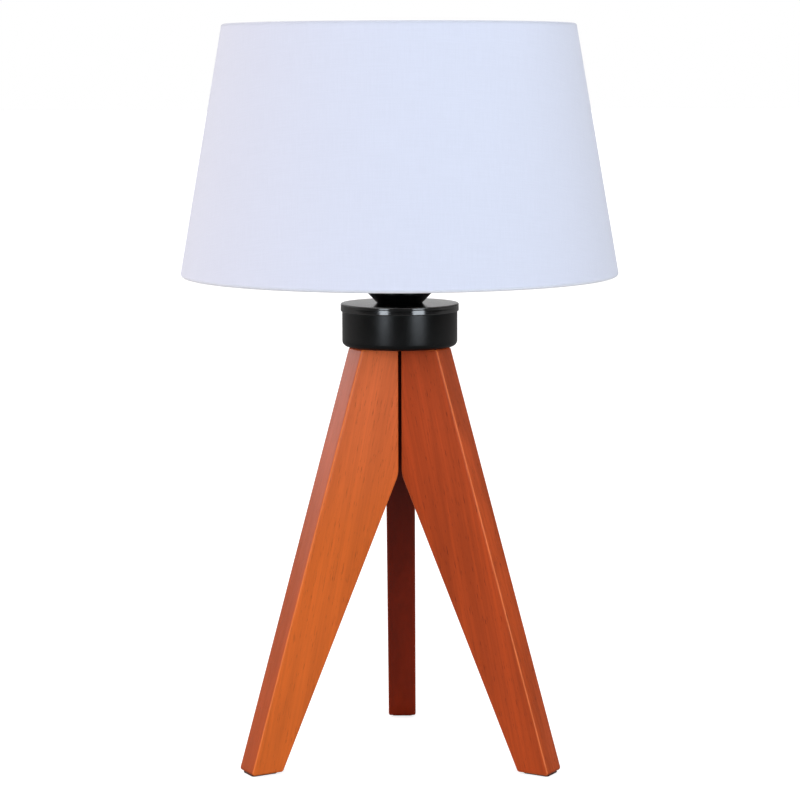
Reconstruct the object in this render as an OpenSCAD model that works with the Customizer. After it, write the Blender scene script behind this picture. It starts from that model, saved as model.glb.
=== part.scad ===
// Table lamp: three splayed wooden legs bolted to a round metal hub, a lampholder
// on the hub, and a tapered drum shade clamped to the lampholder.
// Millimetres, +Z up. The origin is on the floor, on the lamp's axis. -Y is the front.

/* [Legs] */
// Thickness of each leg's board
leg_t = 20; // [16:0.5:24]
// Upright height of a leg, from its cut foot to its cut top
leg_h = 286.3; // [240:0.1:340]
// Depth of a leg's top face, from its inner edge outwards
leg_top_w = 28.5; // [27:0.1:30]
// Depth of a leg's foot, from its inner edge outwards
foot_w = 24.1; // [16:0.1:30]
// Distance from the lamp's axis to the outer edge of a foot
foot_r = 122.5; // [105:0.5:150]
// Height above the foot where a leg's inner edge turns upright
kink_h = 198; // [160:1:230]
// Radius of the turn in a leg's inner edge
kink_r = 20; // [5:1:40]
// Gap between the inner corners of neighbouring legs
leg_gap = 1.2; // [1:0.1:6]
// Rounding of the legs' edges
arris_r = 1.5; // [0.5:0.1:2.5]
// How much larger the rounding of the legs' corners is than that of their edges
corner_more = 0.6; // [0.2:0.1:2]
// Thickness of the felt pads under the feet
pad_t = 1; // [0.5:0.1:3]
// Margin between a pad and the edge of its foot
pad_margin = 2.5; // [1.5:0.1:5]
// Corner radius of a pad
pad_corner_r = 2; // [0.5:0.1:3]

/* [Leg bolts] */
// Thread diameter of the leg bolts
bolt_d = 5; // [4:0.5:6]
// Distance of the leg bolts from the two ends of a leg's top face
bolt_inset = 7.5; // [7:0.1:8]
// Length of the threaded inserts in the legs
insert_l = 15; // [12:0.5:20]
// Length of bolt that is screwed into an insert
bolt_grip_l = 10; // [6:0.5:12]
// Thickness of the bolts' washers
washer_t = 1; // [0.6:0.1:1.6]

/* [Hub] */
// Outer diameter of the hub's cup
can_d = 79.4; // [78:0.1:100]
// Height of the cup, from its bottom to its rim
can_h = 28.4; // [26:0.1:40]
// Thickness of the pressed metal of the cup and its lid
sheet_t = 0.9; // [0.6:0.1:1.5]
// Radius of the cup's lower edge
can_edge_r = 4; // [2:0.1:6]
// Height of the lid's skirt, its top included
skirt_h = 5.9; // [4:0.1:6.5]
// Radius of the lid's upper edge
lid_edge_r = 1.6; // [1.6:0.1:3]
// Clearance between the lid's skirt and the cup
lid_gap = 0.1; // [0.05:0.05:0.3]
// Thickness of the plate inside the cup
plate_t = 3; // [2:0.1:4]
// Clearance between the plate and the round of the cup's lower edge
plate_gap = 0.5; // [0.2:0.1:1]
// Diameter of the plate's tapped boss
boss_d = 16; // [14:0.1:17]
// Height of the boss above the plate
boss_h = 5; // [3:0.1:6]

/* [Threaded tube and cord gland] */
// Outer diameter of the threaded tube
tube_d = 10; // [9:0.1:11]
// Bore of the threaded tube, which the cord goes through
tube_bore = 8; // [6:0.1:8.4]
// Width across flats of the tube's lock nut
nut_flats = 14; // [13:0.1:15]
// Height of the lock nut
nut_h = 4; // [3:0.1:5]
// Width of the tube's side slot for the cord
slot_w = 7; // [5:0.1:7.5]
// Height of the side slot
slot_h = 11; // [8:0.1:12]
// Bore of the cord gland
gland_bore = 7; // [5:0.1:7.5]
// Diameter of the gland's threaded barrel
gland_d = 10; // [9:0.1:10.5]
// Diameter of the gland's outer flange
gland_flange_d = 13; // [12:0.1:13.4]
// Thickness of the gland's flange at its rim
gland_flange_t = 2; // [1:0.1:3]
// Thickness of the gland's nut
gland_nut_t = 3; // [2:0.1:4]

/* [Lampholder] */
// Diameter of the lampholder's foot on the lid
holder_foot_d = 31; // [26:0.1:32]
// Outer diameter of the lampholder's cap
holder_d = 44; // [42.5:0.1:48]
// Height of the flare between the foot and the full diameter
flare_h = 6.9; // [4:0.1:8]
// Height of the lampholder's cap
cap_h = 18.1; // [17:0.1:24]
// Wall of the cap round the sleeve
cap_wall = 2.2; // [1.8:0.1:2.4]
// Floor of the cap
cap_floor_t = 2.5; // [2:0.1:3]
// Height of the cap's inner step, which the core sits on
step_h = 10.5; // [9.5:0.1:11.5]
// Outer diameter of the threaded sleeve
sleeve_d = 39; // [38.4:0.1:39.2]
// Wall of the sleeve
sleeve_wall = 2.3; // [1.8:0.1:2.6]
// Height of the sleeve above the cap
sleeve_out_h = 29.5; // [27:0.1:33]
// Height of the insulating core
core_h = 11; // [10.5:0.1:11.8]
// Bore of the bulb's screw shell
shell_bore = 26.8; // [26.6:0.1:27.2]
// Wall of the screw shell
shell_t = 0.5; // [0.3:0.1:0.8]
// Height of the screw shell
shell_h = 23; // [20:0.5:25]

/* [Sprung contact] */
// Diameter of the contact's button
button_d = 5.2; // [4:0.1:6]
// Diameter of the contact's shoulder, inside the core
shoulder_d = 6.6; // [6.5:0.1:8]
// Thickness of the contact's shoulder
shoulder_t = 1.2; // [0.8:0.1:1.6]
// Height of the button above the core when the bulb is screwed in
button_out = 1.8; // [1.2:0.1:2.6]
// Clearance of the contact in the core
contact_gap = 0.1; // [0.05:0.01:0.2]
// Diameter of the spring's wire
spring_wire_d = 0.5; // [0.3:0.05:0.6]
// Turns of the spring
spring_turns = 4; // [3:1:5]
// Rise of the bulb for each turn
screw_pitch = 3.63; // [3:0.01:3.7]
// Turns over which the contact follows the bulb
contact_turns = 0.75; // [0.25:0.05:0.75]

/* [Terminals] */
// Length of a terminal block, along its lead
block_l = 7; // [5:0.1:7.4]
// Width of a terminal block
block_w = 5; // [4:0.1:6.5]
// Height of a terminal block
block_h = 5; // [4:0.1:5.3]
// Thickness of the strap between the contact and its terminal
strap_t = 0.6; // [0.4:0.1:0.8]
// Thread diameter of the terminal screws
terminal_screw_d = 2.6; // [2:0.1:3]

/* [Bulb] */
// Length of the bulb, from its tip to its crown
bulb_l = 108; // [100:0.5:115]
// Diameter of the bulb's globe
bulb_d = 60; // [50:0.5:65]
// Outer diameter of the bulb's screw cap
bulb_cap_d = 26.2; // [25.6:0.1:26.3]
// Height of the bulb's foot, from its tip to the screw cap's upper edge
bulb_foot_h = 27; // [25:0.1:29]
// Height of the bulb's insulator
insulator_h = 6; // [5:0.1:7]
// Diameter of the bulb's tip
bulb_tip_d = 9; // [7:0.1:10]
// Height of the joint between the bulb's body and its globe, above the tip
bulb_joint_h = 62; // [56:0.5:68]
// Wall of the globe
globe_t = 1.2; // [0.8:0.1:2]

/* [Shade] */
// Outer diameter of the shade at its lower edge
shade_bottom_d = 300; // [260:1:340]
// Outer diameter of the shade at its upper edge
shade_top_d = 240; // [200:1:260]
// Upright height of the shade
shade_h = 171; // [150:0.5:200]
// Thickness of the woven cover
cover_t = 0.6; // [0.4:0.1:1]
// Thickness of the stiff liner
liner_t = 0.4; // [0.2:0.1:0.8]
// Diameter of the wire rings and spokes
wire_d = 3; // [2.4:0.1:4]
// How far the rolled hems stand out from the cover
hem_proud = 0.4; // [0.1:0.1:0.6]

/* [Shade fitting] */
// Outer diameter of the shade's centre ring
centre_ring_d = 60; // [57:0.5:66]
// Thickness of the centre ring
centre_ring_t = 1.5; // [1:0.1:2.5]
// Clearance between the centre ring and the sleeve
centre_ring_gap = 0.6; // [0.3:0.1:0.9]
// Diameter of the shade ring's flange
ring_flange_d = 52; // [49:0.5:53]
// Thickness of the shade ring's flange
ring_flange_t = 2.5; // [1.5:0.1:4]
// Diameter of the shade ring's ribbed collar
ring_collar_d = 46; // [45:0.5:47]
// Height of the shade ring
ring_h = 9; // [6:0.5:12]
// Number of grip ribs round the collar
rib_count = 24; // [12:1:36]
// Diameter of a grip rib
rib_d = 1.6; // [1:0.1:2]

/* [Clearances] */
// Clearance of a fixed piece in its hole
seat_gap = 0.05; // [0.02:0.01:0.1]
// Clearance between pieces that turn on each other
turn_gap = 0.2; // [0.1:0.05:0.4]
// Clearance between the shade's liner and its cover
liner_gap = 0.2; // [0.2:0.05:0.4]

/* [Hidden] */
$fn = 72;
hex_fn = 6;

// How far a cut runs past the face that it opens
cut = 1;

// Directions of the legs and spokes about the axis, from +X
front_left_a = 210;
front_right_a = 330;
rear_a = 90;
leg_angles = [front_left_a, front_right_a, rear_a];
spoke_front_a = 270;
spoke_left_a = 150;
spoke_right_a = 30;
leg_step_a = 120;

// Legs. The inner corners of neighbouring legs stay leg_gap apart.
leg_in_r = (leg_gap / 2 + leg_t / 2 * cos(leg_step_a / 2)) / sin(leg_step_a / 2);
leg_out_r = leg_in_r + leg_top_w;
foot_in_r = foot_r - foot_w;
leg_corner_r = arris_r + corner_more;
corner_steps = 5;
arris_steps = 4;
leg_outline = [
    [foot_in_r, 0],
    [foot_r, 0],
    [leg_out_r, leg_h],
    [leg_in_r, leg_h],
    [leg_in_r, kink_h]
];
kink_i = 4;

// Bolts
bolt_radii = [leg_in_r + bolt_inset, leg_out_r - bolt_inset];
bolt_play = 0.5;
bolt_hole_d = bolt_d + bolt_play;
bolt_head_d = 1.9 * bolt_d;
bolt_head_h = 0.55 * bolt_d;
bolt_key_flats = 0.6 * bolt_d;
bolt_key_depth = 0.3 * bolt_d;
washer_d = 2 * bolt_d;
insert_d = 1.6 * bolt_d;

// Heights, from the floor up
can_z = pad_t + leg_h;
can_floor_z = can_z + sheet_t;
plate_top_z = can_floor_z + plate_t;
boss_top_z = plate_top_z + boss_h;
rim_z = can_z + can_h;
// The cup's rim bears on the round inside the lid's edge, lid_gap inside its skirt
lid_round_r = lid_edge_r - sheet_t;
rim_drop = lid_round_r - sqrt(lid_round_r * lid_round_r - pow(lid_round_r - lid_gap, 2));
lid_z = rim_z + rim_drop + sheet_t + seat_gap;
gland_margin = 0.7;
gland_z = lid_z - skirt_h - gland_flange_d / 2 - gland_margin;
step_z = lid_z + step_h;
cap_top_z = lid_z + cap_h;
sleeve_top_z = cap_top_z + sleeve_out_h;
core_top_z = step_z + core_h;

// Hub
can_r = can_d / 2;
can_in_r = can_r - sheet_t;
lid_r = can_r + lid_gap + sheet_t;
plate_r = can_r - can_edge_r - plate_gap;
tube_r = tube_d / 2;
tube_engage_h = 7.5;
boss_cut = 0.2;

// Gland. Its nut bears on the cup's curved wall with its corners.
gland_nut_r = gland_flange_d / 2;
gland_nut_y = sqrt(can_in_r * can_in_r - gland_nut_r * gland_nut_r);
gland_end_out = 1;
gland_end_y = gland_nut_y - gland_nut_t - gland_end_out;
gland_out_y = can_r + gland_flange_t;
gland_dome = 0.6;

// Lampholder
holder_r = holder_d / 2;
holder_foot_r = holder_foot_d / 2;
cap_in_r = holder_r - cap_wall;
step_w = 3.6;
step_r = cap_in_r - step_w;
holder_boss_wall = 3;
holder_boss_r = tube_r + holder_boss_wall;
tube_end_gap = 0.5;
holder_boss_h = tube_engage_h + tube_end_gap;
sleeve_r = sleeve_d / 2;
sleeve_in_r = sleeve_r - sleeve_wall;
ledge_w = 1.6;
ledge_t = 1.2;
thread_groove_r = 0.5;
thread_pitch = 2.5;
thread_groove_in = 0.4;
thread_start = 3.5;
thread_end = 3;
core_play = 0.2;
core_r = sleeve_in_r - core_play;
shell_r = shell_bore / 2 + shell_t;
shell_flange_w = 4.5;
shell_flange_in_r = shell_bore / 2 - shell_flange_w;
rivet_d = 2;

// Sprung contact
contact_travel = screw_pitch * contact_turns;
core_roof_t = 1;
pocket_top_z = core_top_z - core_roof_t;
shoulder_top_z = pocket_top_z - contact_travel - contact_gap;
button_top_z = core_top_z + button_out;
spring_z = step_z;
spring_h = shoulder_top_z - shoulder_t - spring_z;
spring_r = shoulder_d / 2 - spring_wire_d;
spring_ring_steps = 10;
spring_sides = 6;

// Terminals
block_play = 0.4;
block_x = holder_boss_r + block_l / 2 + block_play;
block_roof_t = 1;
screw_head_d = 1.8 * terminal_screw_d;
screw_head_h = 1;
screw_end_play = 0.5;
strap_w = block_w;
spring_seat_w = 1;
terminal_room_z = step_h - strap_t - block_h - screw_head_h - turn_gap;

// Bulb, measured from its tip
bulb_z = button_top_z + turn_gap;
bulb_r = bulb_d / 2;
bulb_cap_r = bulb_cap_d / 2;
globe_centre_h = bulb_l - bulb_r;
joint_drop = globe_centre_h - bulb_joint_h;
joint_r = sqrt(bulb_r * bulb_r - joint_drop * joint_drop);
bulb_tip_r = bulb_tip_d / 2;
bulb_tip_t = 1;
bulb_tip_round = 0.5;
insulator_lap = 0.6;
cap_edge_w = 0.3;
cap_slope_w = 2;
cap_slope_h = 2.5;
cap_foot_r = bulb_cap_r - cap_slope_w;
insulator_top_r = cap_foot_r - cap_edge_w;
body_lip_w = 0.6;
body_neck_r = bulb_cap_r + body_lip_w;
body_lip_h = 1.5;

// Shade fitting
centre_ring_z = cap_top_z + turn_gap;
centre_ring_top_z = centre_ring_z + centre_ring_t;
ring_z = centre_ring_top_z + turn_gap;
wire_r = wire_d / 2;
hem_r = wire_r + seat_gap + cover_t;
spoke_z = centre_ring_top_z + wire_r;
spoke_lap = 2.8;
spoke_in_r = centre_ring_d / 2 - spoke_lap;
hem_notch_l = 3 * hem_r;
ring_bore_r = sleeve_r + turn_gap / 2;
ring_lead_in = 0.8;

// Shade. The hems roll round the wires, and the lower wire lies in the spokes' plane.
shade_z = spoke_z - hem_r;
shade_top_z = shade_z + shade_h;
shade_bottom_r = shade_bottom_d / 2;
shade_top_r = shade_top_d / 2;
taper = (shade_bottom_r - shade_top_r) / shade_h;
across = sqrt(1 + taper * taper);
top_wire_z = shade_top_z - hem_r;
bottom_wire_r = wire_ring_r(spoke_z);
top_wire_r = wire_ring_r(top_wire_z);
spoke_out_r = bottom_wire_r - wire_r - seat_gap;
liner_end_gap = 0.3;

// Radius of the shade's outer surface at height z
function shade_r(z) = shade_bottom_r - (z - shade_z) * taper;

// Radius of the wire ring whose hem stands hem_proud out of the cover at height z
function wire_ring_r(z) = shade_r(z) - (hem_r - hem_proud) * across;

function unit(v) = v / norm(v);
function left_normal(p, q) = let (u = unit(q - p)) [-u.y, u.x];

// The corner q between p and r, moved inwards by d from both edges
function inset_corner(p, q, r, d) =
    let (n = left_normal(p, q), m = left_normal(q, r))
    q + d * (n + m) / (1 + n * m);

// The leg's outline with rounded corners, moved inwards by d: every corner's arc keeps its centre
function leg_line(d) =
    let (n = len(leg_outline))
    [for (i = [0 : n - 1])
        let (
            before = leg_outline[(i + n - 1) % n],
            after = leg_outline[(i + 1) % n],
            r = i == kink_i ? kink_r : leg_corner_r,
            centre = inset_corner(before, leg_outline[i], after, r),
            n_in = left_normal(before, leg_outline[i]),
            n_out = left_normal(leg_outline[i], after),
            from_a = atan2(-n_in.y, -n_in.x),
            turn_a = acos(n_in * n_out)
        )
        for (k = [0 : corner_steps])
            let (a = from_a + turn_a * k / corner_steps)
            centre + (r - d) * [cos(a), sin(a)]];

module at_each_bolt() {
    for (a = leg_angles, r = bolt_radii) {
        rotate(a) translate([r, 0, 0]) children();
    }
}

// A leg: its tapered outline in the upright plane through the axis, carried across the board in rows
// that draw in by a quarter round at both sides
module leg_blank() {
    rows = [for (side = [-1, 1], k = [0 : arris_steps])
        let (a = 90 * (side < 0 ? k : arris_steps - k) / arris_steps)
        [arris_r * (1 - sin(a)), side * (leg_t / 2 - arris_r + arris_r * cos(a))]];
    lines = [for (row = rows) leg_line(row[0])];
    n = len(lines[0]);
    last = (len(rows) - 1) * n;
    points = [for (j = [0 : len(rows) - 1], p = lines[j]) [p.x, rows[j][1], p.y]];
    walls = [for (j = [0 : len(rows) - 2], i = [0 : n - 1])
        let (k = (i + 1) % n)
        [j * n + i, j * n + k, (j + 1) * n + k, (j + 1) * n + i]];
    sides = [[for (i = [n - 1 : -1 : 0]) i], [for (i = [0 : n - 1]) last + i]];
    polyhedron(points, concat(walls, sides), convexity = 2);
}

module leg(angle) {
    color("#b5562b") rotate(angle) translate([0, 0, pad_t]) difference() {
        leg_blank();
        for (r = bolt_radii) {
            translate([r, 0, leg_h - insert_l]) cylinder(d = insert_d + 2 * seat_gap, h = insert_l + cut);
        }
    }
}

module rounded_plate(l, w, r, t) {
    linear_extrude(t) union() {
        square([l - 2 * r, w], center = true);
        square([l, w - 2 * r], center = true);
        for (x = [-1, 1], y = [-1, 1]) {
            translate([x * (l / 2 - r), y * (w / 2 - r)]) circle(r);
        }
    }
}

module foot_pad(angle) {
    color("#3a3633") rotate(angle) translate([foot_r - foot_w / 2, 0, 0])
        rounded_plate(foot_w - 2 * pad_margin, leg_t - 2 * pad_margin, pad_corner_r, pad_t);
}

module leg_inserts() {
    color("#c9a85c") at_each_bolt() translate([0, 0, can_z - insert_l]) difference() {
        cylinder(d = insert_d, h = insert_l);
        translate([0, 0, -cut]) cylinder(d = bolt_d + 2 * seat_gap, h = insert_l + 2 * cut);
    }
}

module leg_bolts() {
    head_z = plate_top_z + washer_t;
    color("#8d8f92") at_each_bolt() difference() {
        union() {
            translate([0, 0, can_z - bolt_grip_l]) cylinder(d = bolt_d, h = head_z - can_z + bolt_grip_l);
            translate([0, 0, head_z]) cylinder(d = bolt_head_d, h = bolt_head_h);
        }
        translate([0, 0, head_z + bolt_head_h - bolt_key_depth])
            cylinder(d = bolt_key_flats / cos(180 / hex_fn), h = bolt_key_depth + cut, $fn = hex_fn);
    }
}

module bolt_washers() {
    color("#a6a8aa") at_each_bolt() translate([0, 0, plate_top_z]) difference() {
        cylinder(d = washer_d, h = washer_t);
        translate([0, 0, -cut]) cylinder(d = bolt_hole_d, h = washer_t + 2 * cut);
    }
}

// Half outline of a cup: radius r, height h, lower edge radius e
module cup_outline(r, h, e) {
    square([r - e, h]);
    translate([0, e]) square([r, h - e]);
    translate([r - e, e]) circle(e);
}

// An open cup of wall t, bottom down
module cup(r, h, e, t) {
    rotate_extrude() difference() {
        cup_outline(r, h, e);
        translate([0, t]) cup_outline(r - t, h, e - t);
    }
}

module hub_can() {
    color("#1c1d1e") difference() {
        translate([0, 0, can_z]) cup(can_r, can_h, can_edge_r, sheet_t);
        at_each_bolt() translate([0, 0, can_z - cut]) cylinder(d = bolt_hole_d, h = sheet_t + 2 * cut);
        on_gland_axis(gland_nut_y - cut)
            cylinder(d = gland_d + 2 * seat_gap, h = can_r - gland_nut_y + 2 * cut);
    }
}

module hub_lid() {
    color("#1c1d1e") difference() {
        translate([0, 0, lid_z]) mirror([0, 0, 1]) cup(lid_r, skirt_h, lid_edge_r, sheet_t);
        translate([0, 0, rim_z - cut]) cylinder(d = tube_d + 2 * turn_gap, h = lid_z - rim_z + 2 * cut);
    }
}

module leg_plate() {
    color("#9a9c9f") difference() {
        union() {
            translate([0, 0, can_floor_z]) cylinder(r = plate_r, h = plate_t);
            translate([0, 0, can_floor_z]) cylinder(d = boss_d, h = plate_t + boss_h);
        }
        translate([0, 0, can_floor_z - cut]) cylinder(r = tube_r + seat_gap, h = plate_t + boss_h + 2 * cut);
        at_each_bolt() translate([0, 0, can_floor_z - cut]) cylinder(d = bolt_hole_d, h = plate_t + 2 * cut);
    }
}

module threaded_tube() {
    tube_z = can_floor_z + boss_cut;
    tube_l = lid_z + tube_engage_h - tube_z;
    color("#b9a36a") difference() {
        translate([0, 0, tube_z]) cylinder(r = tube_r, h = tube_l);
        translate([0, 0, tube_z - cut]) cylinder(d = tube_bore, h = tube_l + 2 * cut);
        translate([-slot_w / 2, 0, gland_z - slot_h / 2]) cube([slot_w, tube_d, slot_h]);
    }
}

module tube_lock_nut() {
    color("#b9a36a") translate([0, 0, boss_top_z]) difference() {
        cylinder(d = nut_flats / cos(180 / hex_fn), h = nut_h, $fn = hex_fn);
        translate([0, 0, -cut]) cylinder(r = tube_r + seat_gap, h = nut_h + 2 * cut);
    }
}

// Puts a piece that is drawn about +Z on the gland's axis, starting at distance y
module on_gland_axis(y) {
    translate([0, y, gland_z]) rotate([-90, 0, 0]) children();
}

module cord_gland() {
    barrel_l = can_r - gland_end_y;
    color("#202122") difference() {
        union() {
            on_gland_axis(gland_end_y) cylinder(d = gland_d, h = barrel_l);
            on_gland_axis(can_r) cylinder(d = gland_flange_d, h = gland_flange_t - gland_dome);
            on_gland_axis(gland_out_y - gland_dome)
                cylinder(d1 = gland_flange_d, d2 = gland_flange_d - 2 * gland_dome, h = gland_dome);
        }
        on_gland_axis(gland_end_y - cut) cylinder(d = gland_bore, h = barrel_l + gland_flange_t + 2 * cut);
    }
}

module gland_nut() {
    color("#202122") difference() {
        on_gland_axis(gland_nut_y - gland_nut_t) cylinder(r = gland_nut_r, h = gland_nut_t, $fn = hex_fn);
        on_gland_axis(gland_nut_y - gland_nut_t - cut)
            cylinder(d = gland_d + 2 * seat_gap, h = gland_nut_t + 2 * cut);
    }
}

// The flared cap: it screws on the tube and holds the core and the sleeve
module holder_cap() {
    color("#18191a") translate([0, 0, lid_z]) difference() {
        union() {
            difference() {
                union() {
                    cylinder(r1 = holder_foot_r, r2 = holder_r, h = flare_h);
                    translate([0, 0, flare_h]) cylinder(r = holder_r, h = cap_h - flare_h);
                }
                translate([0, 0, cap_floor_t])
                    cylinder(r1 = holder_foot_r - cap_wall, r2 = step_r, h = terminal_room_z - cap_floor_t);
                translate([0, 0, terminal_room_z]) cylinder(r = step_r, h = cap_h);
                translate([0, 0, step_h]) cylinder(r = cap_in_r, h = cap_h);
            }
            cylinder(r = holder_boss_r, h = holder_boss_h);
        }
        translate([0, 0, -cut]) cylinder(r = tube_r + seat_gap, h = holder_boss_h + 2 * cut);
    }
}

// The sleeve: plain inside the cap, with the shade ring's thread as ring grooves above it
module holder_sleeve() {
    grooves = floor((sleeve_out_h - thread_start - thread_end) / thread_pitch);
    color("#1e1f20") difference() {
        translate([0, 0, step_z]) cylinder(r = sleeve_r, h = sleeve_top_z - step_z);
        translate([0, 0, step_z - cut]) cylinder(r = sleeve_in_r, h = core_h + cut + seat_gap);
        translate([0, 0, core_top_z - cut]) cylinder(r = sleeve_in_r - ledge_w, h = ledge_t + 2 * cut);
        translate([0, 0, core_top_z + ledge_t]) cylinder(r = sleeve_in_r, h = sleeve_top_z - core_top_z);
        for (i = [0 : grooves]) {
            translate([0, 0, cap_top_z + thread_start + i * thread_pitch]) rotate_extrude()
                translate([sleeve_r + thread_groove_r - thread_groove_in, 0]) circle(thread_groove_r);
        }
    }
}

module holder_core() {
    color("#e8e4da") difference() {
        translate([0, 0, step_z]) cylinder(r = core_r, h = core_h);
        translate([0, 0, step_z - cut])
            cylinder(d = shoulder_d + 2 * contact_gap, h = core_h - core_roof_t + cut);
        translate([0, 0, pocket_top_z - cut])
            cylinder(d = button_d + 2 * contact_gap, h = core_roof_t + 2 * cut);
        translate([block_x, 0, step_z - cut]) cylinder(d = rivet_d + 2 * seat_gap, h = core_h + 2 * cut);
    }
}

// The screw shell, its inner flange on the core and the rivet to its terminal
module screw_shell() {
    color("#cfae5b") difference() {
        union() {
            translate([0, 0, core_top_z]) cylinder(r = shell_r, h = shell_h);
            translate([block_x, 0, step_z]) cylinder(d = rivet_d, h = core_h);
        }
        translate([0, 0, core_top_z + shell_t]) cylinder(d = shell_bore, h = shell_h);
        translate([0, 0, core_top_z - cut]) cylinder(r = shell_flange_in_r, h = shell_t + 2 * cut);
    }
}

// Puts a piece at the foot of the core, on the shell's side and on the contact's side
module at_each_terminal() {
    for (side = [-1, 1]) {
        translate([side * block_x, 0, step_z - strap_t]) children();
    }
}

module terminal_blocks() {
    color("#cfae5b") difference() {
        at_each_terminal() translate([0, 0, -block_h / 2]) cube([block_l, block_w, block_h], center = true);
        at_each_terminal() translate([0, 0, -block_h - cut])
            cylinder(d = terminal_screw_d + 2 * seat_gap, h = block_h - block_roof_t + cut);
    }
}

module terminal_screws() {
    color("#a6a8aa") at_each_terminal() {
        translate([0, 0, -block_h])
            cylinder(d = terminal_screw_d, h = block_h - block_roof_t - screw_end_play);
        translate([0, 0, -block_h - screw_head_h]) cylinder(d = screw_head_d, h = screw_head_h);
    }
}

// The two straps under the core: from the spring to one terminal, and under the rivet
module contact_strap() {
    color("#cfae5b") translate([0, 0, step_z - strap_t]) union() {
        translate([-block_x - block_l / 2, -strap_w / 2, 0]) cube([block_x + block_l / 2, strap_w, strap_t]);
        cylinder(r = shoulder_d / 2 + spring_seat_w, h = strap_t);
        translate([block_x - block_l / 2, -strap_w / 2, 0]) cube([block_l, strap_w, strap_t]);
    }
}

// One ring of points round the spring's wire, at turn t of the helix
function spring_ring(t) =
    let (
        r = spring_r,
        run = spring_h - spring_wire_d,
        a = 360 * t,
        out = [cos(a), sin(a), 0],
        ahead = unit([-sin(a) * 2 * PI * r, cos(a) * 2 * PI * r, run / spring_turns]),
        up = cross(out, ahead),
        p = r * out + [0, 0, spring_z + spring_wire_d / 2 + run * t / spring_turns]
    )
    [for (k = [0 : spring_sides - 1])
        let (b = 360 * k / spring_sides)
        p + spring_wire_d / 2 * (cos(b) * out + sin(b) * up)];

module contact_spring() {
    steps = spring_turns * spring_ring_steps;
    points = [for (i = [0 : steps]) each spring_ring(i / spring_ring_steps)];
    n = spring_sides;
    sides = [for (i = [0 : steps - 1], k = [0 : n - 1])
        let (a = i * n + k, b = i * n + (k + 1) % n)
        each [[a, a + n, b + n], [a, b + n, b]]];
    foot = [[for (k = [0 : n - 1]) k]];
    head = [[for (k = [n - 1 : -1 : 0]) steps * n + k]];
    color("#d7d9dc") polyhedron(points = points, faces = concat(sides, foot, head));
}

module centre_contact() {
    color("#d9b45f") union() {
        translate([0, 0, shoulder_top_z - shoulder_t]) cylinder(d = shoulder_d, h = shoulder_t);
        translate([0, 0, shoulder_top_z - shoulder_t])
            cylinder(d = button_d, h = button_top_z - shoulder_top_z + shoulder_t);
    }
}

module bulb_tip() {
    color("#b8b8b4") translate([0, 0, bulb_z])
        cylinder(r1 = bulb_tip_r - bulb_tip_round, r2 = bulb_tip_r, h = bulb_tip_t);
}

module bulb_insulator() {
    color("#1a1a1c") translate([0, 0, bulb_z + bulb_tip_t])
        cylinder(r1 = bulb_tip_r + insulator_lap, r2 = insulator_top_r, h = insulator_h - bulb_tip_t);
}

module bulb_cap() {
    color("#c4c6c8") translate([0, 0, bulb_z + insulator_h]) union() {
        cylinder(r1 = cap_foot_r, r2 = bulb_cap_r, h = cap_slope_h);
        translate([0, 0, cap_slope_h]) cylinder(r = bulb_cap_r, h = bulb_foot_h - insulator_h - cap_slope_h);
    }
}

// The bulb's body: a lip on the screw cap, then an even flare up to the globe
module bulb_body() {
    color("#f2f2ef") translate([0, 0, bulb_z + bulb_foot_h]) union() {
        cylinder(r = body_neck_r, h = body_lip_h);
        translate([0, 0, body_lip_h])
            cylinder(r1 = body_neck_r, r2 = joint_r, h = bulb_joint_h - bulb_foot_h - body_lip_h);
    }
}

module bulb_globe() {
    color("#fbfaf6") difference() {
        translate([0, 0, bulb_z + globe_centre_h]) sphere(r = bulb_r);
        translate([0, 0, bulb_z + globe_centre_h]) sphere(r = bulb_r - globe_t);
        translate([0, 0, bulb_z + bulb_joint_h - bulb_d]) cylinder(r = bulb_d, h = bulb_d);
    }
}

// The ribbed ring that screws down on the shade's centre ring
module shade_ring() {
    color("#1e1f20") translate([0, 0, ring_z]) difference() {
        union() {
            cylinder(d = ring_flange_d, h = ring_flange_t);
            cylinder(d = ring_collar_d, h = ring_h);
            for (i = [0 : rib_count - 1]) {
                rotate(360 * i / rib_count) translate([ring_collar_d / 2, 0, 0])
                    cylinder(d = rib_d, h = ring_h);
            }
        }
        translate([0, 0, -cut]) cylinder(r = ring_bore_r, h = ring_h + 2 * cut);
        translate([0, 0, ring_h - ring_lead_in])
            cylinder(r1 = ring_bore_r, r2 = ring_bore_r + 2 * ring_lead_in, h = 2 * ring_lead_in);
    }
}

module shade_centre_ring() {
    color("#f4f4f2") translate([0, 0, centre_ring_z]) difference() {
        cylinder(d = centre_ring_d, h = centre_ring_t);
        translate([0, 0, -cut]) cylinder(r = sleeve_r + centre_ring_gap, h = centre_ring_t + 2 * cut);
    }
}

// A spoke lies on the centre ring and ends at the lower wire
module shade_spoke(angle) {
    color("#f4f4f2") rotate(angle) translate([spoke_in_r, 0, spoke_z]) rotate([0, 90, 0])
        cylinder(r = wire_r, h = spoke_out_r - spoke_in_r);
}

module wire_ring(r, z) {
    color("#f4f4f2") rotate_extrude() translate([r, z]) circle(wire_r);
}

// Half outline of a layer of the shade between two heights, from depth d0 to depth d1
module layer_outline(z0, z1, d0, d1) {
    polygon([
        [shade_r(z0) - d0 * across, z0],
        [shade_r(z1) - d0 * across, z1],
        [shade_r(z1) - d1 * across, z1],
        [shade_r(z0) - d1 * across, z0]
    ]);
}

module shade_liner() {
    hem_room = hem_r + wire_r + liner_end_gap;
    depth = cover_t + liner_gap;
    color("#f7f7f3") rotate_extrude()
        layer_outline(spoke_z + hem_room, top_wire_z - hem_room, depth, depth + liner_t);
}

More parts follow.
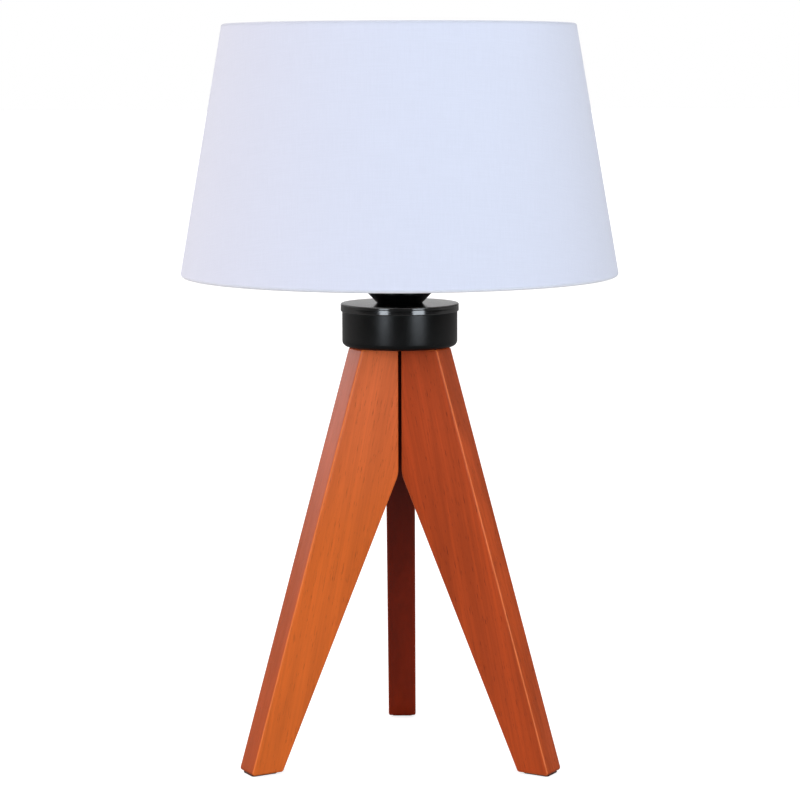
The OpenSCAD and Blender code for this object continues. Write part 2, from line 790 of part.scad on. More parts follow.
// The cover: one tapered layer whose two edges are rolled round the wires
module shade_cover() {
    color("#e4e8f4") difference() {
        rotate_extrude() difference() {
            union() {
                layer_outline(spoke_z, top_wire_z, 0, cover_t);
                translate([bottom_wire_r, spoke_z]) circle(hem_r);
                translate([top_wire_r, top_wire_z]) circle(hem_r);
            }
            translate([bottom_wire_r, spoke_z]) circle(wire_r + seat_gap);
            translate([top_wire_r, top_wire_z]) circle(wire_r + seat_gap);
        }
        for (a = [spoke_front_a, spoke_left_a, spoke_right_a]) {
            rotate(a) translate([bottom_wire_r - hem_notch_l, 0, spoke_z]) rotate([0, 90, 0])
                cylinder(r = wire_r + turn_gap, h = hem_notch_l);
        }
    }
}

leg(front_left_a);  // leg_front_left
leg(front_right_a);  // leg_front_right
leg(rear_a);  // leg_rear
foot_pad(front_left_a);  // foot_pad_front_left
foot_pad(front_right_a);  // foot_pad_front_right
foot_pad(rear_a);  // foot_pad_rear
leg_inserts();
leg_bolts();
bolt_washers();
hub_can();
leg_plate();
hub_lid();
threaded_tube();
tube_lock_nut();
cord_gland();
gland_nut();
holder_cap();
holder_sleeve();
holder_core();
screw_shell();
terminal_blocks();
terminal_screws();
contact_strap();
contact_spring();
centre_contact();
bulb_tip();
bulb_insulator();
bulb_cap();
bulb_body();
bulb_globe();
shade_ring();
shade_centre_ring();
shade_spoke(spoke_front_a);  // shade_spoke_front
shade_spoke(spoke_left_a);  // shade_spoke_left
shade_spoke(spoke_right_a);  // shade_spoke_right
wire_ring(bottom_wire_r, spoke_z);  // shade_bottom_wire
wire_ring(top_wire_r, top_wire_z);  // shade_top_wire
shade_liner();
shade_cover();
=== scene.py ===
"""The looks of a tripod table lamp, laid out as an add-on and run as a script.

Every piece is a surface worked out over two parameters, placed where the packed model has its node.
Lengths are in metres, +Z is up, and the lamp's axis is the Z axis. -Y is the front.
"""
import math
import bmesh
import bpy
import numpy as np
from bpy.props import FloatProperty, FloatVectorProperty, IntProperty, PointerProperty
from mathutils import Matrix, Vector


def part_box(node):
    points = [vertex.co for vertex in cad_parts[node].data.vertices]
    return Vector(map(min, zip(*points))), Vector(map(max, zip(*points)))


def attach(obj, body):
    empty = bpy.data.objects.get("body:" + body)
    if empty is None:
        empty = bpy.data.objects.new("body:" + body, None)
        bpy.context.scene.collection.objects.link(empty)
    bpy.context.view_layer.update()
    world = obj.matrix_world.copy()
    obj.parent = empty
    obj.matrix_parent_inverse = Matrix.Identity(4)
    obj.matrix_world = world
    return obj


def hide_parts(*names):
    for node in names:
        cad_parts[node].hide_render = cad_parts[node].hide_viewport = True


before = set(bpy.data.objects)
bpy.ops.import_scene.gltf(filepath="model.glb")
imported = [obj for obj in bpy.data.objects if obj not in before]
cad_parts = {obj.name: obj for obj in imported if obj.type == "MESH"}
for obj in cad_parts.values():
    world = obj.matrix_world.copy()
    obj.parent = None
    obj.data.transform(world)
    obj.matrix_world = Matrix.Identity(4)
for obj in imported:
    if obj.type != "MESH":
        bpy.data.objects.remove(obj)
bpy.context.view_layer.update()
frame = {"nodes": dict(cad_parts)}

bl_info = {
    "name": "Tripod table lamp",
    "version": (1, 0, 0),
    "blender": (4, 5, 0),
    "location": "3D View > Sidebar > Lamp",
    "description": "Builds the legs, hub, lampholder, bulb and shade of a tripod table lamp",
    "category": "Add Mesh",
}

# Directions of the legs and of the shade's spokes about the axis, in degrees from +X
LEG_TURNS = {"front_left": 210.0, "front_right": 330.0, "rear": 90.0}
SPOKE_TURNS = {"front": 270.0, "left": 150.0, "right": 30.0}
# Points round a turned piece, and round the shade
ROUND_STEPS = 192
SHADE_STEPS = 360
# Room between the shade's wires, cloth and liner, and how far the cloth runs on past a wire inside
AIR = 0.00005
HEM_TUCK = 0.005
# Each leg's strength of figure, the heights between which its tone changes, and what its colour is
# multiplied by above them, and on the narrow front face below and above them. Only the figure is the
# wood's own. The multipliers are painted light: a painted sheen that makes the front legs lighter and
# bluer towards their tops, painted shade on the front left leg's outer face, and painted shade on the
# rear leg's inner face, where the front legs shade it
FIGURE_AND_PAINTED_LIGHT = {
    "front_left": {"figure": 0.95, "span": (0.14, 0.28), "top": (1.14, 1.24, 2.8),
                   "rim": (0.57, 0.46, 0.50), "rim_top": (0.65, 0.57, 1.40)},
    "front_right": {"figure": 1.6, "span": (0.14, 0.28), "top": (1.16, 1.22, 1.7),
                    "rim": (1.02, 1.05, 1.0), "rim_top": (1.18, 1.28, 1.7)},
    "rear": {"figure": 1.2, "span": (0.0, 0.26), "top": (1.0, 1.0, 1.0),
             "rim": (0.53, 0.24, 0.055), "rim_top": (0.20, 0.09, 0.006)},
}
# How far the grain's pattern is shifted from leg to leg, so that no two boards look alike
GRAIN_SHIFT = (0.71, 0.37, 0.19)
# Each softbox's turn from the camera's side in degrees, distance from the axis, height and size
SOFTBOXES = {
    "left": (-30.0, 1.8, 0.60, (0.54, 1.3)),
    "right": (37.0, 1.8, 0.60, (0.74, 1.3)),
    "top": (50.0, 0.9, 1.25, (0.7, 0.7)),
}
# Colour of every softbox, and the point on the axis that it aims at
SOFTBOX_COLOUR = (0.85, 0.92, 1.0)
SOFTBOX_AIM = Vector((0, 0, 0.32))


def low(node):
    """Lowest corner of a node's box."""
    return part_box(node)[0]


def high(node):
    """Highest corner of a node's box."""
    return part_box(node)[1]


def turned_box(node):
    """Outer radius, lowest height and highest height of a node that is round about the axis."""
    return high(node).x, low(node).z, high(node).z


# ---------------------------------------------------------------- sizes and colours

def length(name, description, default):
    """A length in metres."""
    return FloatProperty(name=name, description=description, default=default, min=0.0,
                         unit="LENGTH", precision=5)


def angle(name, description, degrees):
    """An angle, with its default in degrees."""
    return FloatProperty(name=name, description=description, default=math.radians(degrees),
                         subtype="ANGLE")


def power(name, description, default):
    """A lamp's power in watts."""
    return FloatProperty(name=name, description=description, default=default, min=0.0, unit="POWER")


def colour(name, description, default):
    """A linear colour."""
    return FloatVectorProperty(name=name, description=description, default=default, size=3,
                               min=0.0, max=1.0, subtype="COLOR")


class LampLegSizes(bpy.types.PropertyGroup):
    """Sizes of the three wooden legs and their felt pads."""
    board: length("Board", "Thickness of a leg's board", high("leg_rear").x - low("leg_rear").x)
    foot_width: length("Foot width", "Depth of a leg's foot", 0.0241)
    top_width: length("Top width", "Depth of a leg's top face", 0.0285)
    turn_height: length("Turn height", "Height on the leg where its inner edge turns upright", 0.198)
    turn_round: length("Turn radius", "Radius of the turn in the inner edge", 0.020)
    edge_round: length("Edge rounding", "Radius along the board's long edges", 0.0015)
    corner_round: length("Corner rounding", "Radius of the board's corners", 0.0021)
    grain_slope: angle("Grain slope", "Slope of the grain from upright", 12.5)
    pad_corner: length("Pad corner", "Radius of the felt pad's corners", 0.002)
    pad_edge: length("Pad edge", "Radius along the felt pad's edges", 0.0003)


class LampHubSizes(bpy.types.PropertyGroup):
    """Sizes of the pressed metal cup, its lid and the cord gland."""
    metal: length("Sheet", "Thickness of the pressed metal", 0.0009)
    cup_round: length("Cup edge", "Radius of the cup's lower edge", 0.004)
    lid_round: length("Lid edge", "Radius of the lid's upper edge", 0.0016)
    lid_hole: length("Lid hole", "Radius of the hole in the lid", 0.0052)
    gland_bore: length("Gland bore", "Radius of the gland's bore", 0.0035)
    gland_barrel: length("Gland barrel", "Radius of the gland's barrel", 0.005)


class LampHolderSizes(bpy.types.PropertyGroup):
    """Sizes of the lampholder and of the shade ring on its sleeve."""
    foot_radius: length("Foot radius", "Radius of the lampholder's foot", 0.0155)
    flare_height: length("Flare height", "Height of the flare above the foot", 0.0069)
    cap_wall: length("Cap wall", "Wall of the cap", 0.0022)
    cap_floor: length("Cap floor", "Thickness of the cap's floor", 0.0025)
    tube_hole: length("Tube hole", "Radius of the hole for the threaded tube", 0.00505)
    boss_radius: length("Boss radius", "Radius of the boss round the tube", 0.008)
    boss_height: length("Boss height", "Height of the boss round the tube", 0.008)
    step_height: length("Step height", "Height of the inner step", 0.0105)
    step_width: length("Step width", "Width of the inner step", 0.0036)
    sleeve_wall: length("Sleeve wall", "Wall of the sleeve", 0.0023)
    thread_pitch: length("Thread pitch", "Pitch of the sleeve's thread", 0.0025)
    thread_depth: length("Thread depth", "Depth of the sleeve's thread", 0.0007)
    ring_collar: length("Collar radius", "Radius of the shade ring's collar between its ribs", 0.0226)
    ring_flange: length("Flange thickness", "Thickness of the shade ring's flange", 0.0025)
    rib_depth: length("Rib depth", "How far the shade ring's ribs stand out", 0.0011)
    ribs: IntProperty(name="Ribs", description="Grip ribs round the shade ring", default=24,
                      min=3)


class LampBulbSizes(bpy.types.PropertyGroup):
    """Sizes of the bulb's screw cap and globe."""
    pitch: length("Screw pitch", "Rise of the screw cap's thread in one turn", 0.00363)
    depth: length("Screw depth", "Depth of the screw cap's thread", 0.0010)
    slope: length("Cap slope", "Height of the slope under the screw thread", 0.0025)
    globe_wall: length("Globe wall", "Thickness of the opal globe", 0.0012)


class LampShadeSizes(bpy.types.PropertyGroup):
    """Sizes of the shade's cloth, hems and wire frame."""
    cloth: length("Cloth", "Thickness of the cloth", 0.0006)
    liner: length("Liner", "Thickness of the stiff liner", 0.0004)
    wire: length("Wire", "Radius of the rings and spokes", 0.0015)
    hem_proud: length("Hem", "How far the rolled hems stand out from the cloth", 0.00005)
    seam_lap: length("Seam lap", "Width of the lap at the back seam", 0.012)
    seam_proud: length("Seam height", "How far the lap stands out", 0.00035)
    thread: length("Thread spacing", "Spacing of the cloth's threads", 0.00062)


class LampColours(bpy.types.PropertyGroup):
    """Colours of the lamp's finishes."""
    wood_front_left: colour("Front left leg", "Stained wood", (0.735, 0.143, 0.018))
    wood_front_right: colour("Front right leg", "Stained wood", (0.470, 0.063, 0.0095))
    wood_rear: colour("Rear leg", "Stained wood", (0.550, 0.085, 0.0120))
    # Colours of the lighter edges: the stained surface rubbed thin, and also a painted highlight on the lit
    # front edges
    edge_front_left: colour("Front left edges", "Stain rubbed thin", (0.90, 0.205, 0.038))
    edge_front_right: colour("Front right edges", "Stain rubbed thin", (0.88, 0.200, 0.048))
    edge_rear: colour("Rear edges", "Stain rubbed thin", (0.880, 0.200, 0.048))
    felt: colour("Felt", "Pads under the feet", (0.050, 0.014, 0.007))
    hub: colour("Hub", "Satin black coat", (0.0036, 0.0038, 0.0037))
    holder: colour("Lampholder", "Moulded black", (0.0022, 0.0022, 0.0023))
    brass: colour("Brass", "Plain brass", (0.62, 0.42, 0.14))
    steel: colour("Zinc", "Zinc plated steel", (0.50, 0.52, 0.54))
    core: colour("Core", "Cream insulator", (0.72, 0.68, 0.56))
    bulb_metal: colour("Bulb cap", "Rolled aluminium", (0.62, 0.63, 0.65))
    bulb_black: colour("Bulb insulator", "Black glass", (0.008, 0.008, 0.009))
    bulb_body: colour("Bulb body", "White moulded body", (0.74, 0.74, 0.71))
    bulb_globe: colour("Bulb globe", "Opal globe", (0.86, 0.86, 0.83))
    cloth: colour("Cloth", "Shade cloth", (0.703, 0.727, 0.835))
    # Painted light: a paler colour for the cloth's underside where it rolls round the lower wire
    painted_fold_light: colour("Lower fold", "Cloth round the lower wire", (0.93, 0.95, 1.0))
    liner: colour("Liner", "Translucent film", (0.80, 0.80, 0.78))
    frame: colour("Wire frame", "White coated wire", (0.80, 0.80, 0.78))


class LampStageSettings(bpy.types.PropertyGroup):
    """Camera, lamps and surroundings."""
    distance: length("Distance", "Level distance from the lamp's axis to the camera", 1.75913)
    height: length("Height", "Height of the camera", 0.47490)
    turn: angle("Turn", "Turn of the camera round the lamp", 0.5567)
    tilt: angle("Tilt", "Downward tilt of the camera", 7.303)
    roll: angle("Roll", "Roll of the camera", -0.1669)
    lens: FloatProperty(name="Lens", description="Focal length", default=115.343, min=1.0,
                        unit="CAMERA")
    left_power: power("Left softbox", "Power of the left softbox", 9.8)
    right_power: power("Right softbox", "Power of the right softbox", 12.3)
    top_power: power("Top softbox", "Power of the softbox above right", 3.0)
    surround: FloatProperty(name="Surroundings", description="Level of the light from all round",
                            default=1.0, min=0.0)


SETTINGS = {
    "lamp_legs": LampLegSizes,
    "lamp_hub": LampHubSizes,
    "lamp_holder": LampHolderSizes,
    "lamp_bulb": LampBulbSizes,
    "lamp_shade": LampShadeSizes,
    "lamp_colours": LampColours,
    "lamp_stage": LampStageSettings,
}


# ---------------------------------------------------------------- shapes

def corner_arcs(corners, radii, steps, closed):
    """Rounds the corners of a line in a plane.

    In each corner lies a circle that touches both sides. The result gives, for every point of every
    arc, the circle's centre, the unit direction from it and its radius, so centre + (radius - d) *
    direction is the same line moved inwards by d.
    """
    p = np.asarray(corners, float)
    before, after = np.roll(p, 1, 0) - p, np.roll(p, -1, 0) - p
    if not closed:
        before, after, p = before[1:-1], after[1:-1], p[1:-1]
    a = before / np.linalg.norm(before, axis=1, keepdims=True)
    b = after / np.linalg.norm(after, axis=1, keepdims=True)
    half = np.arccos(np.clip((a * b).sum(1), -1, 1)) / 2
    r = np.broadcast_to(np.asarray(radii, float), half.shape)[:, None]
    middle = (a + b) / np.linalg.norm(a + b, axis=1, keepdims=True)
    centre = p + middle * r / np.sin(half)[:, None]
    start = (p + a * r / np.tan(half)[:, None] - centre) / r
    end = (p + b * r / np.tan(half)[:, None] - centre) / r
    sweep = (np.pi - 2 * half)[:, None, None]
    t = np.linspace(0, 1, steps)[None, :, None]
    way = np.sin((1 - t) * sweep) * start[:, None] + np.sin(t * sweep) * end[:, None]
    return np.repeat(centre, steps, 0), (way / np.sin(sweep)).reshape(-1, 2), np.repeat(r, steps, 0)


def rounded(corners, radii, steps=6, closed=False):
    """A line with rounded corners: the arcs of corner_arcs, with the two ends of an open line kept."""
    centre, way, radius = corner_arcs(corners, radii, steps, closed)
    line = centre + radius * way
    if closed:
        return line
    p = np.asarray(corners, float)
    return np.concatenate([p[:1], line, p[-1:]])


def finer(line, step, closed=False):
    """The same line with points added, so that no two neighbours are further apart than about step."""
    p = np.concatenate([line, line[:1]]) if closed else np.asarray(line, float)
    at = np.concatenate([[0], np.cumsum(np.linalg.norm(np.diff(p, axis=0), axis=1))])
    t = np.union1d(at, np.linspace(0, at[-1], max(2, int(at[-1] / step))))
    t = t[np.concatenate([[True], np.diff(t) > 1e-6])]
    q = np.stack([np.interp(t, at, p[:, 0]), np.interp(t, at, p[:, 1])], 1)
    return q[:-1] if closed else q


def thick_line(line, thickness):
    """A closed line round an open one.

    It is the line moved along its normals by half the thickness, there and back.
    """
    step = np.diff(line, axis=0)
    step /= np.linalg.norm(step, axis=1, keepdims=True)
    side = np.stack([-step[:, 1], step[:, 0]], 1)
    ends = np.concatenate([side[:1], side]), np.concatenate([side, side[-1:]])
    normal = (ends[0] + ends[1]) / (1 + (ends[0] * ends[1]).sum(1, keepdims=True))
    return np.concatenate([line + normal * thickness / 2, (line - normal * thickness / 2)[::-1]])


def grid_faces(rows, columns, wrap_rows, wrap_columns):
    """Four-cornered faces between neighbours in a grid of points, which may run round either way."""
    i, j = np.meshgrid(np.arange(rows if wrap_rows else rows - 1),
                       np.arange(columns if wrap_columns else columns - 1), indexing="ij")
    i, j = i.ravel(), j.ravel()
    k, l = (i + 1) % rows, (j + 1) % columns
    return np.stack([i * columns + j, i * columns + l, k * columns + l, k * columns + j], 1)


def tube(r, s, z, turn):
    """Rows of points that each run round, with the faces between them.

    A point lies r out along a direction turned from +X about the axis, s to its left and z up.
    """
    co = np.stack([r * np.cos(turn) - s * np.sin(turn), r * np.sin(turn) + s * np.cos(turn),
                   z + 0 * r], 2)
    return co.reshape(-1, 3), grid_faces(*r.shape, False, True)


def spin(line, closed=False, steps=ROUND_STEPS, change=None):
    """A line of (radius, height) points carried round the Z axis.

    Point (i, j) is radius[j] at the angle 2 pi i / steps. change(angle, radius, height) gives what is
    added to each radius, as for a thread or ribs. Points on the axis fall together there.
    """
    turn = np.linspace(0, 2 * np.pi, steps, endpoint=False)[:, None]
    r, z = line[None, :, 0], line[None, :, 1]
    r = r + 0 * turn + (change(turn, r, z) if change else 0)
    co = np.stack([r * np.cos(turn), r * np.sin(turn), z + 0 * r], 2).reshape(-1, 3)
    return co, grid_faces(steps, len(line), True, closed)


def smooth_step(x):
    """Rises evenly from 0 at 0 to 1 at 1, with level ends."""
    x = np.clip(x, 0, 1)
    return x * x * (3 - 2 * x)


def helix_groove(turn, height, pitch, start, end):
    """Depth from 0 to 1 of a rounded thread.

    It is half of 1 - cos of the height's turns less the angle, and fades out at start and end.
    """
    wave = 0.5 - 0.5 * np.cos(2 * np.pi * (height - start) / pitch - turn)
    fade = smooth_step((height - start) / (0.6 * pitch)) * smooth_step((end - height) / (0.6 * pitch))
    return wave * fade


def inside_out(co, faces):
    """Whether a closed surface's volume comes out negative.

    The volume is a sixth of the sum of a . (b x c) over the faces' two halves, taken from the middle.
    """
    a, b, c, d = (co[faces[:, i]] - co.mean(0) for i in range(4))
    return (np.cross(a, b) * c).sum() + (np.cross(a, c) * d).sum() < 0


# ---------------------------------------------------------------- pieces

def add_piece(name, surface, finish, body, node, sides=(), sharp=40.0, marks=None, cloth=None):
    """Puts a surface, as points and faces, into a mesh that rides on a body and stands for a CAD node.

    sides are flat many-cornered faces that close the grid at its first and last row. marks are numbers
    or vectors kept at each point, by name, and cloth gives a flat place for each face's corner. Points
    that fall together are merged.
    """
    co, faces = surface
    mesh = bpy.data.meshes.new(name)
    turn = -1 if inside_out(co, faces) else 1
    loops = faces.tolist() + [side.tolist() for side in sides]
    mesh.from_pydata(co, [], [loop[::turn] for loop in loops])
    for mark, values in (marks or {}).items():
        kind, field = ("FLOAT_VECTOR", "vector") if values.ndim == 2 else ("FLOAT", "value")
        values = values.astype(np.float32).ravel()
        mesh.attributes.new(mark, kind, "POINT").data.foreach_set(field, values)
    if cloth is not None:
        corner = np.zeros(len(mesh.loops), np.int32)
        mesh.loops.foreach_get("vertex_index", corner)
        flat = cloth(corner).astype(np.float32).ravel()
        mesh.uv_layers.new(name="cloth").data.foreach_set("uv", flat)
    shell = bmesh.new()
    shell.from_mesh(mesh)
    bmesh.ops.remove_doubles(shell, verts=shell.verts, dist=1e-7)
    shell.to_mesh(mesh)
    shell.free()
    mesh.polygons.foreach_set("use_smooth", np.ones(len(mesh.polygons), bool))
    mesh.set_sharp_from_angle(angle=math.radians(sharp))
    piece = bpy.data.objects.new(name, mesh)
    bpy.context.scene.collection.objects.link(piece)
    mesh.materials.append(finish)
    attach(piece, body)
    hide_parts(node)
    return piece


def finish_node(node, finish):
    """Gives a CAD node that keeps its own shape its material."""
    shown = frame["nodes"][node]
    shown.data.materials.clear()
    shown.data.materials.append(finish)


# ---------------------------------------------------------------- materials

class Nodes:
    """Shader nodes being put together. Node kinds are given without the word ShaderNode before them."""

    def __init__(self, tree):
        self.tree = tree

    def set(self, node, sockets):
        """Sets a node's sockets by their names or numbers, by a link or by a value."""
        for name, value in sockets.items():
            socket = node.inputs[name if isinstance(name, int) else name.replace("_", " ")]
            if isinstance(value, bpy.types.NodeSocket):
                self.tree.links.new(value, socket)
            elif hasattr(value, "__len__") and socket.type == "RGBA":
                socket.default_value = (*value[:3], 1.0)
            else:
                socket.default_value = value
        return node

    def add(self, kind, settings=None, **sockets):
        """A new node with its settings and sockets."""
        node = self.tree.nodes.new("ShaderNode" + kind)
        for name, value in (settings or {}).items():
            setattr(node, name, value)
        return self.set(node, sockets)

    def split(self, vector):
        """The X, Y and Z of a vector."""
        return self.add("SeparateXYZ", Vector=vector).outputs

    def place(self):
        """Object coordinates, in metres."""
        return self.add("TexCoord").outputs["Object"]

    def mark(self, name, output="Fac"):
        """A number kept on the mesh, or a vector with the output Vector."""
        return self.add("Attribute", {"attribute_name": name}).outputs[output]

    def math(self, operation, first, second=0.0):
        """One step of arithmetic."""
        return self.set(self.add("Math", {"operation": operation}), {0: first, 1: second}).outputs[0]

    def fit(self, value, low_in, high_in, low_out=0.0, high_out=1.0, kind="SMOOTHSTEP"):
        """The value's range moved on to another range, with smooth ends unless the kind is LINEAR."""
        return self.add("MapRange", {"interpolation_type": kind}, Value=value, From_Min=low_in,
                        From_Max=high_in, To_Min=low_out, To_Max=high_out).outputs["Result"]

    def choose(self, shader, *others):
        """A shader, or the last of the others whose test holds."""
        for test, other in others:
            shader = self.set(self.add("MixShader"), {0: test, 1: shader, 2: other}).outputs[0]
        return shader


class Finish(Nodes):
    """A material being put together: a Principled shader and the nodes that feed it."""

    def __init__(self, name, **sockets):
        self.material = bpy.data.materials.new(name)
        self.material.use_nodes = True
        super().__init__(self.material.node_tree)
        self.shader = self.set(self.tree.nodes["Principled BSDF"], sockets)

    def done(self, **sockets):
        """The material, with its last sockets set."""
        self.set(self.shader, sockets)
        return self.material

    def stretch(self, vector, scale):
        """The vector times a scale along each direction."""
        return self.set(self.add("VectorMath", {"operation": "MULTIPLY"}),
                        {0: vector, 1: scale}).outputs[0]

    def noise(self, vector, scale, detail=3.0, roughness=0.55, distortion=0.0):
        """Noise from 0 to 1 with scale spots a metre, one number or one for each direction."""
        scale = scale if isinstance(scale, tuple) else (scale,) * 3
        return self.add("TexNoise", Vector=self.stretch(vector, scale), Scale=1.0, Detail=detail,
                        Roughness=roughness, Distortion=distortion).outputs["Fac"]

    def uneven(self, pattern, middle, swing):
        """A number that swings about its middle with a noise."""
        return self.fit(pattern, 0.25, 0.75, middle - swing, middle + swing)

    def mix(self, factor, first, second, mode="MIX"):
        """Two colours mixed: sockets 6 and 7 and output 2 are the node's colours."""
        node = self.add("Mix", {"data_type": "RGBA", "blend_type": mode})
        return self.set(node, {0: factor, 6: first, 7: second}).outputs[2]

    def between(self, factor, base, first, second):
        """A colour that goes from one shade of the base to another."""
        return self.mix(factor, shade_of(base, first), shade_of(base, second))

    def bump(self, height, distance, strength):
        """A bumped normal from a height."""
        return self.add("Bump", Height=height, Distance=distance, Strength=strength).outputs["Normal"]


def shade_of(base, factor):
    """A colour made lighter or darker."""
    return tuple(min(1.0, c * factor) for c in base)


def wood_finish(name, base, edge, figure, span, top, rim, rim_top):
    """Stained hardwood under satin lacquer, from the board's own coordinates.

    Broad bands and narrow streaks run along the grain, with fine dark pores as short dashes, and all
    show more the higher figure is. Where a mesh attribute marks the rounded edges they take the lighter
    colour edge, partly the stained surface rubbed thin and partly a painted highlight on the lit front
    edges. Over the span of heights the colour comes to be multiplied by top, a painted sheen that makes
    the front legs lighter and bluer towards their tops. The rim attribute marks the narrow face to the
    front, where rim and rim_top multiply it instead: a painted sheen towards the top of the front legs'
    outer faces, painted shade lower down on the front left one, and painted shade on the rear leg's
    inner face, darkest at its top.
    """
    f = Finish(name, Coat_Weight=0.30, Coat_Roughness=0.18, Coat_IOR=1.5, Specular_IOR_Level=0.12)
    board = f.mark("board", "Vector")
    bands = f.noise(board, (4.0, 75.0, 60.0), 4.0, 0.55, 0.6)
    streaks = f.noise(board, (11.0, 520.0, 420.0), 3.0, 0.6)
    fibre = f.noise(board, (70.0, 2600.0, 2600.0), 2.0, 0.6)
    pores = f.fit(f.noise(board, (120.0, 1250.0, 1250.0), 2.0, 0.5), 0.62, 0.72)
    patches = f.noise(board, (9.0, 14.0, 14.0), 2.0)
    tone = f.between(f.fit(bands, 0.32, 0.70), base, 1 + 0.11 * figure, 1 - 0.13 * figure)
    tone = f.mix(f.fit(streaks, 0.35, 0.75, 0.0, 0.30 * figure), tone, shade_of(base, 0.66))
    tone = f.mix(f.fit(fibre, 0.30, 0.75, 0.0, 0.20), tone, shade_of(base, 1.35))
    tone = f.mix(f.fit(patches, 0.35, 0.75, 0.0, 0.18), tone, shade_of(base, 0.70))
    upper = f.fit(f.split(f.place())["Z"], *span)
    # Painted light: top paints a sheen on the upper legs, rim and rim_top paint shade and sheen on the
    # narrow front faces
    painted_light = f.mix(f.mark("rim"), f.mix(upper, (1.0, 1.0, 1.0), top), f.mix(upper, rim, rim_top))
    tone = f.mix(1.0, tone, painted_light, "MULTIPLY")
    tone = f.mix(f.math("MULTIPLY", pores, 0.40 * figure), tone, shade_of(base, 0.28))
    # The lighter edges are partly the stained surface rubbed thin and partly a painted highlight
    tone = f.mix(f.math("MULTIPLY", f.mark("worn"), f.fit(streaks, 0.2, 0.8, 0.95, 0.60)), tone, edge)
    return f.done(Base_Color=tone, Roughness=f.fit(streaks, 0.2, 0.8, 0.40, 0.52),
                  Normal=f.bump(f.math("SUBTRACT", fibre, pores), 0.00006, 0.6))


def felt_finish(base):
    """Pressed felt: matted fibres in two sizes of noise."""
    f = Finish("felt", Roughness=0.95, Sheen_Weight=0.25, Specular_IOR_Level=0.1)
    place = f.place()
    return f.done(Base_Color=f.between(f.noise(place, 2600.0, 4.0, 0.7), base, 0.6, 1.8),
                  Normal=f.bump(f.noise(place, 1500.0), 0.0002, 0.7))


def black_coat_finish(name, base, roughness, shine, index, shaded_below):
    """Black coat on metal: a fine even texture, faintly uneven in gloss.

    It has its shine above a given height and is dull from 6 mm under it: painted shade, its reflection
    turned down where the cup's bottom stands in shadow.
    """
    f = Finish(name, IOR=index)
    place = f.place()
    cloud = f.noise(place, 60.0)
    return f.done(Base_Color=f.between(cloud, base, 0.85, 1.2),
                  Roughness=f.uneven(cloud, roughness, 0.03),
                  Specular_IOR_Level=f.fit(f.split(place)["Z"], shaded_below - 0.006, shaded_below,
                                           0.10, shine),
                  Normal=f.bump(f.noise(place, 1900.0, 3.0, 0.6), 0.00006 * roughness, 0.5))


def moulded_finish(name, base, roughness, **sockets):
    """Moulded plastic: a fine mould texture and a slow change of gloss."""
    f = Finish(name, **sockets)
    place = f.place()
    cloud = f.noise(place, 90.0)
    return f.done(Base_Color=f.between(cloud, base, 0.97, 1.03), Roughness=f.uneven(cloud, roughness, 0.04),
                  Normal=f.bump(f.noise(place, 2400.0, 2.0), 0.00002, 0.5))


def metal_finish(name, base, roughness, dull):
    """Plain metal: fine turning marks round the axis, and patches where it has dulled."""
    f = Finish(name, Metallic=1.0)
    place = f.place()
    marks = f.noise(place, (140.0, 140.0, 5200.0), 3.0, 0.6)
    patches = f.fit(f.noise(place, 150.0, 4.0, 0.6), 0.45, 0.75)
    return f.done(Base_Color=f.between(f.math("MULTIPLY", patches, dull), base, 1.0, 0.55),
                  Roughness=f.fit(marks, 0.2, 0.8, roughness - 0.07, roughness + 0.10),
                  Normal=f.bump(marks, 0.00001, 0.5))


def coated_wire_finish(base):
    """White coating on the wires: slightly uneven, with faint flow marks."""
    f = Finish("white_wire", Specular_IOR_Level=0.5)
    flow = f.noise(f.place(), 240.0)
    return f.done(Base_Color=f.between(flow, base, 0.94, 1.04), Roughness=f.uneven(flow, 0.42, 0.06),
                  Normal=f.bump(flow, 0.00006, 0.4))


def film_finish(base):
    """Stiff liner film: milky, faintly clouded, with fine drawn lines."""
    f = Finish("liner_film", Roughness=0.5, Specular_IOR_Level=0.4)
    place = f.place()
    return f.done(Base_Color=f.between(f.noise(place, 22.0), base, 0.95, 1.04),
                  Normal=f.bump(f.noise(place, (90.0, 90.0, 1400.0), 2.0), 0.00003, 0.4))


